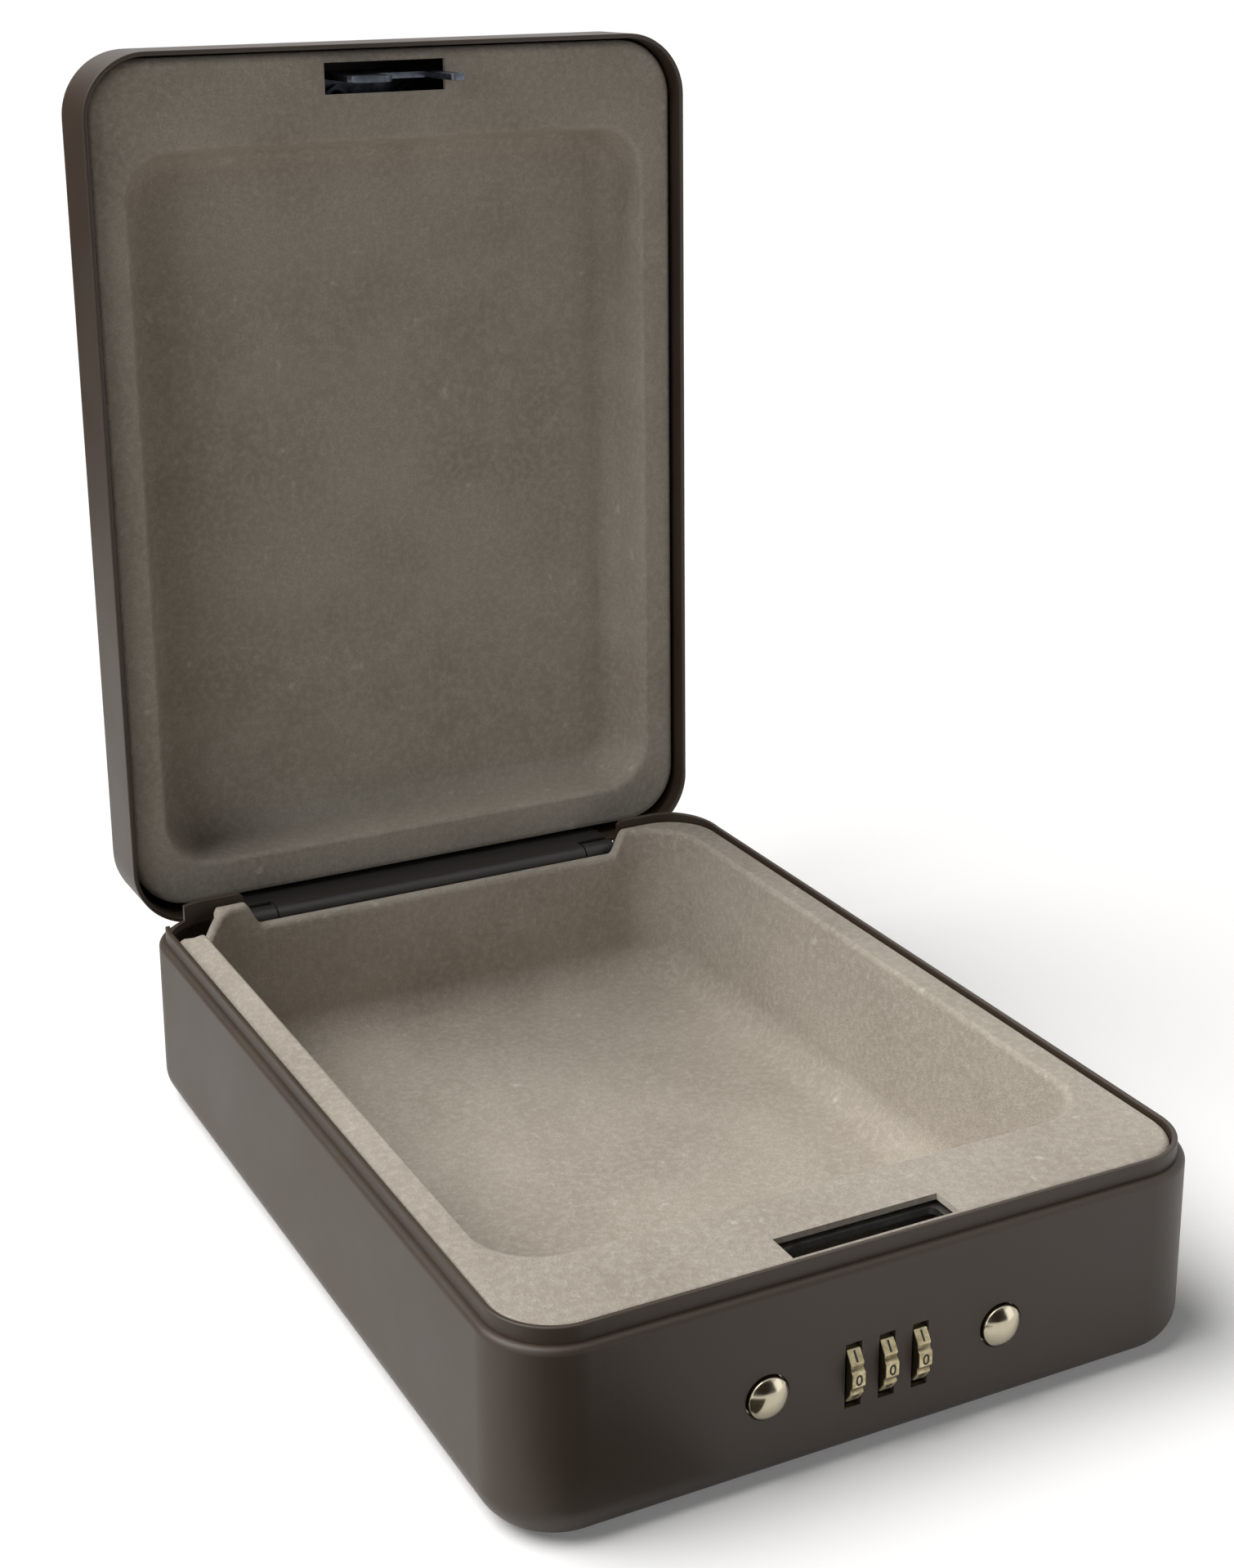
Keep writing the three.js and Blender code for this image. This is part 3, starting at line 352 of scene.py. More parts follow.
@dataclass(frozen=True)
class Flock(Finish):
    """Flocked plastic: short upright fibres that scatter light, brighten at a low angle and show brushing."""

    name: str = "short_pile_flock"
    roughness: float = 1.0
    colour: str = "#b9b1a5"
    dark: str = "#a59c90"
    pale: str = "#cfc7bd"
    lint: str = "#e0dad1"
    specular: float = 0.12
    sheen: float = 0.35
    sheen_roughness: float = 0.5
    brushed_mm: float = 26
    clump_mm: float = 1.7
    # Fibres are 0.02 mm thick, so they are drawn as tufts of half a millimetre to show at all
    tuft_mm: float = 0.55
    lint_mm: float = 5.5

    def material(self) -> bpy.types.Material:
        """Build the pile's material.

        Returns:
            The material.
        """
        sheet = self.start(metallic=0.0)
        sheet.shader.inputs["Specular IOR Level"].default_value = self.specular
        sheet.shader.inputs["Sheen Weight"].default_value = self.sheen
        sheet.shader.inputs["Sheen Roughness"].default_value = self.sheen_roughness
        sheet.shader.inputs["Sheen Tint"].default_value = to_linear(self.pale)
        brushed = sheet.noise(self.brushed_mm, detail=5, stretch=(1, 1.5, 1))
        clump = sheet.noise(self.clump_mm, detail=3)
        tuft = sheet.noise(self.tuft_mm, detail=2)
        specks = sheet.noise(self.lint_mm, detail=6)
        colour = sheet.blend(sheet.remap(brushed, 0.3, 0.68, 0, 1), self.dark, self.colour)
        colour = sheet.blend(sheet.remap(clump, 0.4, 0.7, 0, 0.5), colour, self.pale)
        colour = sheet.blend(sheet.remap(tuft, 0.6, 0.35, 0, 0.55), colour, self.dark)
        colour = sheet.blend(sheet.remap(specks, 0.68, 0.76, 0, 0.5), colour, self.lint)
        normal = sheet.bump(tuft, 0.2, 0.85, under=sheet.bump(clump, 0.25, 0.5))
        return sheet.feed(Base_Color=colour, Normal=normal)


@dataclass(frozen=True)
class HingeCoat(Finish):
    """Black electrocoat on spring-hard strip: smoother than the shell's paint, with a faint rolling grain."""

    name: str = "black_electrocoat"
    roughness: float = 0.42
    colour: str = "#2b2927"
    rubbed: str = "#3a3734"
    grain_mm: float = 0.8

    def material(self) -> bpy.types.Material:
        """Build the coat's material.

        Returns:
            The material.
        """
        sheet = self.start(metallic=0.0)
        grain = sheet.noise(self.grain_mm, detail=3, stretch=(14, 1, 1))
        rough = sheet.vary_roughness(grain, self.roughness, 0.05, 0.08)
        colour = sheet.blend(sheet.remap(grain, 0.45, 0.7, 0, 0.3), self.colour, self.rubbed)
        return sheet.feed(Base_Color=colour, Roughness=rough, Normal=sheet.bump(grain, 0.01, 0.3))


@dataclass(frozen=True)
class ZincPlate(Finish):
    """Bright zinc on stamped steel: a grey metal with cloudy dulling and a fine rolled grain."""

    name: str = "bright_zinc_plate"
    roughness: float = 0.34
    colour: str = "#b4b4b1"
    dull: str = "#8b8a87"
    cloud_mm: float = 4
    grain_mm: float = 0.35

    def material(self) -> bpy.types.Material:
        """Build the plating's material.

        Returns:
            The material.
        """
        sheet = self.start(metallic=1.0)
        cloud = sheet.noise(self.cloud_mm, detail=4)
        grain = sheet.noise(self.grain_mm, detail=2, stretch=(9, 1, 1))
        colour = sheet.blend(sheet.remap(cloud, 0.35, 0.7, 0, 1), self.colour, self.dull)
        rough = sheet.vary_roughness(cloud, self.roughness, 0.08, 0.14)
        return sheet.feed(Base_Color=colour, Roughness=rough, Normal=sheet.bump(grain, 0.008, 0.4))


@dataclass(frozen=True)
class SpringWire(Finish):
    """Drawn spring steel: a smooth grey wire with faint draw lines."""

    name: str = "drawn_spring_steel"
    roughness: float = 0.3
    colour: str = "#9a9b9c"
    drawn: str = "#7f8081"
    line_mm: float = 0.3

    def material(self) -> bpy.types.Material:
        """Build the wire's material.

        Returns:
            The material.
        """
        sheet = self.start(metallic=1.0)
        line = sheet.noise(self.line_mm, detail=2)
        rough = sheet.vary_roughness(line, self.roughness, 0.06, 0.1)
        return sheet.feed(Base_Color=sheet.blend(line, self.colour, self.drawn), Roughness=rough)


@dataclass(frozen=True)
class AgedBrass(Finish):
    """Turned brass gone grey-brown in cloudy patches, with painted shade darkening the grooves between the
    flats.
    """

    name: str = "tarnished_brass"
    roughness: float = 0.42
    colour: str = "#cdc09c"
    tarnish: str = "#9c8e6d"
    # Painted shade: the near-black brown that darkens the grooves between the flats
    grime: str = "#3d3528"
    cloud_mm: float = 1.4
    turned_mm: float = 0.16
    flat_radius: float = 7.8 * MM
    groove_radius: float = 7.35 * MM

    def from_axis(self, sheet: MaterialSheet) -> Socket:
        """Measure the distance from the wheels' axis.

        Args:
            sheet: The brass's sheet.

        Returns:
            The socket of the distance in metres.
        """
        across = {0: sheet.place, 1: (0, 1, 1)}
        flattened = add_node(sheet.tree, "ShaderNodeVectorMath", across, operation="MULTIPLY")
        ends = {0: flattened.outputs[0], 1: (0, LOCK.wheel_y, LOCK.wheel_z)}
        return add_node(sheet.tree, "ShaderNodeVectorMath", ends, operation="DISTANCE").outputs["Value"]

    def material(self) -> bpy.types.Material:
        """Build the brass's material.

        Returns:
            The material.
        """
        sheet = self.start(metallic=1.0)
        cloud = sheet.noise(self.cloud_mm, detail=4)
        turned = sheet.noise(self.turned_mm, detail=2, stretch=(1, 8, 8))
        colour = sheet.blend(sheet.remap(cloud, 0.35, 0.7, 0, 1), self.colour, self.tarnish)
        # Painted shade: the nearer the axis, the darker the grooves between the flats
        shaded_groove = sheet.remap(self.from_axis(sheet), self.flat_radius, self.groove_radius, 0, 0.9)
        colour = sheet.blend(shaded_groove, colour, self.grime)
        rough = sheet.vary_roughness(cloud, self.roughness, 0.06, 0.12)
        return sheet.feed(Base_Color=colour, Roughness=rough, Normal=sheet.bump(turned, 0.006, 0.4))


@dataclass(frozen=True)
class NickelPlate(Finish):
    """Bright nickel over pressed brass: a warm, slightly soft mirror with the faintest handling haze."""

    name: str = "bright_nickel_plate"
    roughness: float = 0.17
    colour: str = "#bab19d"
    hazed: str = "#aca38e"
    haze_mm: float = 2.2

    def material(self) -> bpy.types.Material:
        """Build the nickel's material.

        Returns:
            The material.
        """
        sheet = self.start(metallic=1.0)
        haze = sheet.noise(self.haze_mm, detail=4)
        rough = sheet.remap(haze, 0.35, 0.75, self.roughness - 0.04, self.roughness + 0.07)
        return sheet.feed(Base_Color=sheet.blend(haze, self.colour, self.hazed), Roughness=rough)


@dataclass(frozen=True)
class BlackChromate(Finish):
    """Zinc with a black chromate, a dark bluish metal that only glints along its edges; its darkness is
    partly painted shade, standing for the shade inside the lid's window where the striker and its nuts sit.
    """

    name: str = "chromate_and_window_shade"
    roughness: float = 0.36
    # Partly painted shade: kept dark for the shade inside the lid's window
    colour: str = "#6a6f79"
    dull: str = "#474b53"
    cloud_mm: float = 3

    def material(self) -> bpy.types.Material:
        """Build the chromate's material.

        Returns:
            The material.
        """
        sheet = self.start(metallic=1.0)
        cloud = sheet.noise(self.cloud_mm, detail=4)
        colour = sheet.blend(sheet.remap(cloud, 0.35, 0.7, 0, 1), self.colour, self.dull)
        rough = sheet.vary_roughness(cloud, self.roughness, 0.06, 0.12)
        return sheet.feed(Base_Color=colour, Roughness=rough)


@dataclass(frozen=True)
class StampedInk(Finish):
    """Black lacquer in stamped digits: dull, with slightly uneven density."""

    name: str = "black_digit_lacquer"
    roughness: float = 0.55
    colour: str = "#171512"
    worn: str = "#3b3427"
    wear_mm: float = 0.35

    def material(self) -> bpy.types.Material:
        """Build the lacquer's material.

        Returns:
            The material.
        """
        sheet = self.start(metallic=0.0)
        worn = sheet.remap(sheet.noise(self.wear_mm, detail=3), 0.55, 0.75, 0, 0.35)
        return sheet.feed(Base_Color=sheet.blend(worn, self.colour, self.worn))


class FinishShelf:
    """Builds each finish once and hands out its material."""

    def __init__(self) -> None:
        """Start with no material made."""
        self.made: dict[str, bpy.types.Material] = {}

    def get(self, finish: Finish) -> bpy.types.Material:
        """Return a finish's material, made on first use.

        Args:
            finish: The finish.

        Returns:
            Its material.
        """
        if finish.name not in self.made:
            self.made[finish.name] = finish.material()
        return self.made[finish.name]


shelf = FinishShelf()
SLOT_FINISHES: dict[Slot, Finish] = {
    Slot.PAINTED: PowderCoat(),
    Slot.FLOCK: Flock(),
    Slot.HINGE: HingeCoat(),
    Slot.ZINC: ZincPlate(),
    Slot.SPRING: SpringWire(),
    Slot.BRASS: AgedBrass(),
    Slot.CHROME: NickelPlate(),
}


def finish_of(node: str, slot: Slot) -> Finish:
    """Choose a solid's finish: the dark chromate for the striker and its nuts, partly their real colour and
    partly painted shade of the lid's window, and its slot's own for the rest.
    """
    return BlackChromate() if node.startswith("striker") else SLOT_FINISHES[slot]


# Bench tools


def take(obj: bpy.types.Object) -> None:
    """Make one object the only selected and active one, in object mode.

    Args:
        obj: The object.
    """
    if bpy.context.object and bpy.context.object.mode != "OBJECT":
        bpy.ops.object.mode_set(mode="OBJECT")
    bpy.ops.object.select_all(action="DESELECT")
    obj.select_set(True)
    bpy.context.view_layer.objects.active = obj


@contextmanager
def editing(obj: bpy.types.Object, kind: Element = Element.VERTS) -> Iterator[None]:
    """Work on an object in edit mode, and leave it afterwards.

    Args:
        obj: The object to edit.
        kind: What is selected.
    """
    take(obj)
    bpy.ops.object.mode_set(mode="EDIT")
    bpy.ops.mesh.select_mode(type=kind.value)
    yield
    bpy.ops.object.mode_set(mode="OBJECT")


def pick(
    obj: bpy.types.Object,
    kind: Element,
    test: Test,
    rim: bool = False,
    sharper: float = 0,
) -> None:
    """Select what passes a test on its corners, in edit mode.

    Args:
        obj: The object in edit mode.
        kind: What is selected.
        test: Says of a list of corner places whether the element is wanted.
        rim: True to take only edges that bound an open side.
        sharper: Take only edges whose faces turn by more than this, in radians.
    """
    bpy.ops.mesh.select_mode(type=kind.value)
    bpy.ops.mesh.select_all(action="DESELECT")
    mesh = bmesh.from_edit_mesh(obj.data)
    for element in getattr(mesh, kind.name.lower()):
        corners = [element.co] if kind is Element.VERTS else [v.co for v in element.verts]
        if not test(corners) or (rim and not element.is_boundary):
            continue
        if not sharper or element.calc_face_angle(0) > sharper:
            element.select_set(True)
    bmesh.update_edit_mesh(obj.data)


def pick_all() -> None:
    """Select everything in edit mode."""
    bpy.ops.mesh.select_all(action="SELECT")


def at_height(z: float) -> Test:
    """Give a test for elements that lie wholly at one height."""
    return lambda corners: all(abs(c.z - z) < TOUCH for c in corners)


def at_y(y: float) -> Test:
    """Give a test for elements that lie wholly at one place from front to back."""
    return lambda corners: all(abs(c.y - y) < TOUCH for c in corners)


def shift(x: float = 0, y: float = 0, z: float = 0) -> None:
    """Move what is selected in edit mode."""
    bpy.ops.transform.translate(value=(x, y, z))


def extrude(x: float = 0, y: float = 0, z: float = 0, edges: bool = False) -> None:
    """Extrude the selected faces, or edges, in edit mode.

    Args:
        x: How far along X.
        y: How far along Y.
        z: How far along Z.
        edges: True to extrude loose edges into walls.
    """
    if edges:
        bpy.ops.mesh.extrude_edges_move(TRANSFORM_OT_translate={"value": (x, y, z)})
    else:
        bpy.ops.mesh.extrude_region_move(TRANSFORM_OT_translate={"value": (x, y, z)})


def round_off(width: float, segments: int) -> None:
    """Round or break the selected edges in edit mode."""
    bpy.ops.mesh.bevel(offset=width, segments=segments, affect="EDGES")


def turn_about_x(angle: float, y: float = 0, z: float = 0) -> None:
    """Turn what is selected in edit mode about a line along X.

    Args:
        angle: The turn in radians. With no window the operator turns the other way, so this lifts the front.
        y: The line's place along Y.
        z: The line's height.
    """
    bpy.ops.transform.rotate(
        value=angle,
        orient_axis="X",
        orient_type="GLOBAL",
        center_override=(0, y, z),
    )


def settle() -> None:
    """Put the active object's place, turn and scale into its mesh."""
    bpy.ops.object.transform_apply(location=True, rotation=True, scale=True)


def run_modifier(obj: bpy.types.Object, kind: str, **settings: Any) -> None:
    """Add a modifier with its settings and apply it.

    Args:
        obj: The object.
        kind: The modifier's type, such as "SOLIDIFY".
        **settings: Attributes of the modifier.
    """
    take(obj)
    modifier = obj.modifiers.new(kind.title(), kind)
    for name, value in settings.items():
        setattr(modifier, name, value)
    bpy.ops.object.modifier_apply(modifier=modifier.name)


def cut_away(obj: bpy.types.Object, cutter: bpy.types.Object) -> None:
    """Cut one solid from another, and drop the cutter."""
    run_modifier(obj, "BOOLEAN", operation="DIFFERENCE", object=cutter, solver="MANIFOLD")
    bpy.data.objects.remove(cutter)


def block(name: str, low: Sequence[float], high: Sequence[float]) -> bpy.types.Object:
    """Make a block between two corners.

    Args:
        name: The block's name.
        low: Its lowest corner.
        high: Its highest corner.

    Returns:
        The block.
    """
    middle = [(a + b) / 2 for a, b in zip(low, high)]
    bpy.ops.mesh.primitive_cube_add(size=1, location=middle)
    obj = bpy.context.object
    obj.name = name
    obj.scale = [b - a for a, b in zip(low, high)]
    settle()
    return obj


def rounded_plate(
    name: str,
    x: Sequence[float],
    y: Sequence[float],
    z: float,
    radius: float,
    steps: int,
) -> bpy.types.Object:
    """Make a flat plate with round corners.

    Args:
        name: The plate's name.
        x: Its two ends along X.
        y: Its two ends along Y.
        z: Its height.
        radius: The radius of the corners.
        steps: Segments of each corner.

    Returns:
        The plate, one face that looks up.
    """
    bpy.ops.mesh.primitive_plane_add(size=1, location=((x[0] + x[1]) / 2, (y[0] + y[1]) / 2, z))
    obj = bpy.context.object
    obj.name = name
    obj.scale = (x[1] - x[0], y[1] - y[0], 1)
    settle()
    with editing(obj):
        pick_all()
        bpy.ops.mesh.bevel(offset=radius, segments=steps, affect="VERTICES")
    return obj


def join(obj: bpy.types.Object, *others: bpy.types.Object) -> bpy.types.Object:
    """Join other objects into the first.

    Args:
        obj: The object that stays.
        *others: The objects that go into it.

    Returns:
        The first object.
    """
    take(obj)
    for other in others:
        other.select_set(True)
    bpy.ops.object.join()
    return obj


def face_outwards(obj: bpy.types.Object) -> None:
    """Merge doubled corners and turn all faces outwards.

    Args:
        obj: The object.
    """
    with editing(obj):
        pick_all()
        bpy.ops.mesh.remove_doubles(threshold=MERGE)
        bpy.ops.mesh.normals_make_consistent(inside=False)


def from_solid(node: str, edge: float, angle: float = 40, steps: int = 2) -> bpy.types.Object:
    """Copy a stamped or turned solid and break its edges as its maker would.

    Args:
        node: The solid's name.
        edge: The width of the broken edge.
        angle: Edges sharper than this, in degrees, are broken.
        steps: Segments of the broken edge.

    Returns:
        The copy, merged, with its flat faces whole.
    """
    source = frame["nodes"][node]
    obj = bpy.data.objects.new(node + "_made", source.data.copy())
    bpy.context.scene.collection.objects.link(obj)
    obj.data.materials.clear()
    with editing(obj):
        pick_all()
        bpy.ops.mesh.remove_doubles(threshold=MERGE)
        bpy.ops.mesh.customdata_custom_splitnormals_clear()
        bpy.ops.mesh.dissolve_limited(angle_limit=FLAT_ANGLE)
    run_modifier(
        obj,
        "BEVEL",
        width=edge,
        segments=steps,
        limit_method="ANGLE",
        angle_limit=math.radians(angle),
        use_clamp_overlap=True,
        harden_normals=False,
    )
    return obj


def smooth(obj: bpy.types.Object) -> None:
    """Shade a piece smooth by angle, with large faces ruling the shading of their edges.

    Args:
        obj: The piece.
    """
    take(obj)
    bpy.ops.object.shade_smooth_by_angle(angle=SMOOTH_ANGLE)
    run_modifier(obj, "WEIGHTED_NORMAL", keep_sharp=True, weight=60)


def place_piece(
    obj: bpy.types.Object,
    name: str,
    body: Body,
    slot: Slot,
    nodes: Sequence[str] = (),
    finish: Finish | None = None,
) -> None:
    """Name, dress and seat a finished piece.

    Args:
        obj: The piece.
        name: Its name.
        body: The body that it rides on.
        slot: The material slot of its finish.
        nodes: The solids that it stands for.
        finish: The finish, where it isn't the slot's own.
    """
    obj.name = name
    obj.data.name = name
    obj.data.materials.clear()
    obj.data.materials.append(shelf.get(finish or SLOT_FINISHES[slot]))
    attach(obj, body.value)
    if nodes:
        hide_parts(*nodes)
    log.info("%s: %d faces on %s", name, len(obj.data.polygons), body.value)


# Sub-assemblies


@dataclass
class Outline:
    """The drawn sizes that both shells share, in metres."""

    width: float = 165 * MM
    length: float = 226 * MM
    corner: float = 16.5 * MM
    sheet: float = 1.2 * MM
    corner_steps: int = 20
    rim_steps: int = 3

    @property
    def x(self) -> tuple[float, float]:
        """The two sides."""
        return -self.width / 2, self.width / 2

    @property
    def y(self) -> tuple[float, float]:
        """The front and the back."""
        return -self.length / 2, self.length / 2

    def plate(self, name: str, z: float) -> bpy.types.Object:
        """Make a flat plate of the full outline at one height."""
        return rounded_plate(name, self.x, self.y, z, self.corner, self.corner_steps)

    def open_top(self, obj: bpy.types.Object, top: float) -> None:
        """Remove the flat face that closes a drawn blank.

        Args:
            obj: The blank.
            top: The face's height.
        """
        with editing(obj, Element.FACES):
            pick(obj, Element.FACES, at_height(top))
            bpy.ops.mesh.delete(type="ONLY_FACE")

    def to_sheet(self, obj: bpy.types.Object) -> None:
        """Give a drawn blank its sheet thickness, inwards.

        Args:
            obj: The blank.
        """
        face_outwards(obj)
        run_modifier(
            obj,
            "SOLIDIFY",
            thickness=self.sheet,
            offset=-1,
            use_even_offset=True,
            use_quality_normals=True,
        )

    def reach(self, place: Vector) -> float:
        """Measure how far out a place lies, from a corner's middle or from the line that joins two of them.

        Args:
            place: The place, seen from above.

        Returns:
            The distance in metres, which is the corner's radius on the outline itself.
        """
        over_x = abs(place.x) - (self.width / 2 - self.corner)
        over_y = abs(place.y) - (self.length / 2 - self.corner)
        if over_x > 0 and over_y > 0:
            return math.hypot(over_x, over_y)
        return max(over_x, over_y)

    def break_rim(self, obj: bpy.types.Object, on_rim: Test, width: float) -> None:
        """Break the two edges that run round an open rim.

        Args:
            obj: The drawn shell.
            on_rim: Tells whether an edge's corners lie on the rim's face.
            width: The width of the broken edge.
        """

        def runs_round(corners: list[Vector]) -> bool:
            """Tell whether an edge runs along the rim and not across it."""
            return on_rim(corners) and abs(self.reach(corners[0]) - self.reach(corners[1])) < 5 * TOUCH

        with editing(obj, Element.EDGES):
            pick(obj, Element.EDGES, runs_round)
            round_off(width, self.rim_steps)


@dataclass
class Pivot:
    """The hinge's axis and the lid's swing."""

    y: float = 113.3 * MM
    z: float = 38.9 * MM
    open_degrees: float = 91

    def swing_open(self, obj: bpy.types.Object) -> None:
        """Turn a piece that was drawn closed to the open rest position.

        Args:
            obj: The piece.
        """
        with editing(obj):
            pick_all()
            turn_about_x(math.radians(self.open_degrees), self.y, self.z)


@dataclass
class BaseShell:
    """The drawn base: rounded lower edge, stepped rim with a standing lip, and its cut-outs."""

    outline: Outline = field(default_factory=Outline)
    height: float = 43.6 * MM
    lower_radius: float = 8.5 * MM
    lower_steps: int = 12
    shoulder_radius: float = 1.5 * MM
    shoulder_steps: int = 5
    lip_inset: float = 1.8 * MM
    lip_height: float = 3.6 * MM
    lip_edge: float = 0.32 * MM
    ear_rise: float = 1.3 * MM
    ear_length: float = 3 * MM
    ear_slope: float = 14 * MM
    notch_half: float = 55.7 * MM
    notch_floor: float = 35.3 * MM
    notch_chamfer: float = 1.2 * MM
    # The right side, the front and the sill of the opening for a tether cable
    cable_notch: tuple[float, float, float] = (-72.5 * MM, 100.2 * MM, 44.2 * MM)
    wheel_slot: tuple[float, float] = (3.7 * MM, 14.4 * MM)
    button_hole: float = 4.95 * MM
    button_hole_steps: int = 64
    hole_edge: float = 0.18 * MM
    hole_edge_steps: int = 2
    overrun: float = 3 * MM

    def blank(self) -> bpy.types.Object:
        """Draw the tray from a flat plate.

        Returns:
            The tray, with its sheet thickness.
        """
        obj = self.outline.plate("base_shell_made", 0)
        with editing(obj, Element.FACES):
            pick_all()
            extrude(z=self.height)
            bpy.ops.mesh.inset(thickness=self.lip_inset, use_even_offset=True)
            extrude(z=self.lip_height)
        self.outline.open_top(obj, self.lip_top(0))
        lip_reach = self.outline.corner - self.lip_inset / 2

        def on_shoulder(corners: list[Vector]) -> bool:
            """Tell whether an edge runs round the shoulder, outside the lip."""
            return at_height(self.height)(corners) and all(self.outline.reach(c) > lip_reach for c in corners)

        with editing(obj, Element.EDGES):
            pick(obj, Element.EDGES, at_height(0))
            round_off(self.lower_radius, self.lower_steps)
            pick(obj, Element.EDGES, on_shoulder)
            round_off(self.shoulder_radius, self.shoulder_steps)
        self.raise_ears(obj)
        self.outline.to_sheet(obj)
        return obj

    def lip_top(self, y: float) -> float:
        """Give the lip's height at a place along the box: it rises to an ear at each rear corner."""
        foot = self.outline.length / 2 - self.ear_length - self.ear_slope
        return self.height + self.lip_height + self.ear_rise * min(max((y - foot) / self.ear_slope, 0), 1)

    def on_lip(self, corners: list[Vector]) -> bool:
        """Tell whether all corners lie on the lip's top."""
        return all(c.z > self.height + self.lip_height - TOUCH for c in corners)

    def raise_ears(self, obj: bpy.types.Object) -> None:
        """Raise the lip at the two rear corners, row by row.

        Args:
            obj: The tray, before it gets its thickness.
        """
        rows = {round(v.co.y / TOUCH) for v in obj.data.vertices if self.on_lip([v.co])}
        with editing(obj):
            for row in sorted(rows):
                rise = self.lip_top(row * TOUCH) - self.lip_top(0)
                if rise > 0:
                    pick(obj, Element.VERTS, lambda c: self.on_lip(c) and round(c[0].y / TOUCH) == row)
                    shift(z=rise)

    def cut_notches(self, obj: bpy.types.Object) -> None:
        """Open the rear wall for the hinge, and the left rear corner of the lip for a tether cable.

        Args:
            obj: The tray.
        """
        rear = self.outline.length / 2
        top = self.height + self.lip_height + self.ear_rise
        low = (-self.notch_half, rear - 2 * self.overrun, self.notch_floor)
        cutter = block("notch_cutter", low, (self.notch_half, rear + self.overrun, top - self.notch_chamfer))
        with editing(cutter, Element.FACES):
            pick(cutter, Element.FACES, at_height(top - self.notch_chamfer))
            extrude(z=self.notch_chamfer)
            widen = 1 + self.notch_chamfer / self.notch_half
            bpy.ops.transform.resize(value=(widen, 1, 1), center_override=(0, rear, top))
            extrude(z=self.overrun)
        cut_away(obj, cutter)
        x, y, sill = self.cable_notch
        low = (-self.outline.width / 2 - self.overrun, y, sill)
        cut_away(obj, block("cable_cutter", low, (x, rear + self.overrun, top + self.overrun)))

    def cut_front(self, obj: bpy.types.Object) -> None:
        """Cut the wheel slots and the button holes, and break their outer edges.

        Args:
            obj: The tray.
        """
        front = -self.outline.length / 2
        width, height = self.wheel_slot
        for side in Side:
            x = side.value * LOCK.wheel_pitch
            low = (x - width / 2, front - self.overrun, LOCK.wheel_z - height / 2)
            high = (x + width / 2, front + self.overrun, LOCK.wheel_z + height / 2)
            cut_away(obj, block("slot_cutter", low, high))
        for side in (Side.LEFT, Side.RIGHT):
            bpy.ops.mesh.primitive_cylinder_add(
                vertices=self.button_hole_steps,
                radius=self.button_hole,
                depth=2 * self.overrun,
                location=(side.value * LOCK.button_half_spacing, front, LOCK.button_z),
                rotation=(math.pi / 2, 0, 0),
            )
            cutter = bpy.context.object
            settle()
            cut_away(obj, cutter)

        def rims_a_hole(corners: list[Vector]) -> bool:
            """Tell whether an edge rims a hole on the wall's outer face."""
            return at_y(front)(corners) and all(self.on_hole_rim(c) for c in corners)

        with editing(obj, Element.EDGES):
            pick(obj, Element.EDGES, rims_a_hole)
            round_off(self.hole_edge, self.hole_edge_steps)

    def on_hole_rim(self, place: Vector) -> bool:
        """Tell whether a place lies on the rim of a wheel slot or a button hole.

        Args:
            place: A place on the front wall.

        Returns:
            True where it does.
        """
        width, height = self.wheel_slot
        for side in (Side.LEFT, Side.RIGHT):
            over_x = place.x - side.value * LOCK.button_half_spacing
            if abs(math.hypot(over_x, place.z - LOCK.button_z) - self.button_hole) < 2 * TOUCH:
                return True
        for side in Side:
            over_x = abs(place.x - side.value * LOCK.wheel_pitch) - width / 2
            over_z = abs(place.z - LOCK.wheel_z) - height / 2
            if abs(max(over_x, over_z)) < 2 * TOUCH:
                return True
        return False

    def build(self) -> None:
        """Make, dress and seat the base shell."""
        obj = self.blank()
        self.outline.break_rim(obj, self.on_lip, self.lip_edge)
        self.cut_notches(obj)
        self.cut_front(obj)
        smooth(obj)
        place_piece(obj, "base_shell_drawn", Body.BASE, Slot.PAINTED, ["base_shell"])


@dataclass
class LidShell:
    """The drawn lid: a plain tray with a rounded top edge."""

    outline: Outline = field(default_factory=Outline)
    rim: float = 43.9 * MM
    depth: float = 24 * MM
    top_radius: float = 6 * MM
    top_steps: int = 10
    rim_edge: float = 0.3 * MM

    def build(self, pivot: Pivot) -> None:
        """Make, dress and seat the lid shell.

        Args:
            pivot: The hinge that it swings on.
        """
        obj = self.outline.plate("lid_shell_made", self.rim)
        with editing(obj, Element.FACES):
            pick_all()
            extrude(z=self.depth)
        self.outline.open_top(obj, self.rim)
        with editing(obj, Element.EDGES):
            pick(obj, Element.EDGES, at_height(self.rim + self.depth))
            round_off(self.top_radius, self.top_steps)
        self.outline.to_sheet(obj)
        self.outline.break_rim(obj, at_height(self.rim), self.rim_edge)
        smooth(obj)
        pivot.swing_open(obj)
        place_piece(obj, "lid_shell_drawn", Body.LID, Slot.PAINTED, ["lid_shell"])


def on_outline(place: Vector, x: Sequence[float], y: Sequence[float], corner: float) -> bool:
    """Tell whether a place lies on a rounded rectangle's outline, seen from above.

    Args:
        place: The place.
        x: The rectangle's two ends along X.
        y: Its two ends along Y.
        corner: The radius of its corners.

    Returns:
        True where it does.
    """
    over_x = abs(place.x - sum(x) / 2) - ((x[1] - x[0]) / 2 - corner)
    over_y = abs(place.y - sum(y) / 2) - ((y[1] - y[0]) / 2 - corner)
    reach = math.hypot(over_x, over_y) if over_x > 0 and over_y > 0 else max(over_x, over_y)
    return abs(reach - corner) < 2 * TOUCH


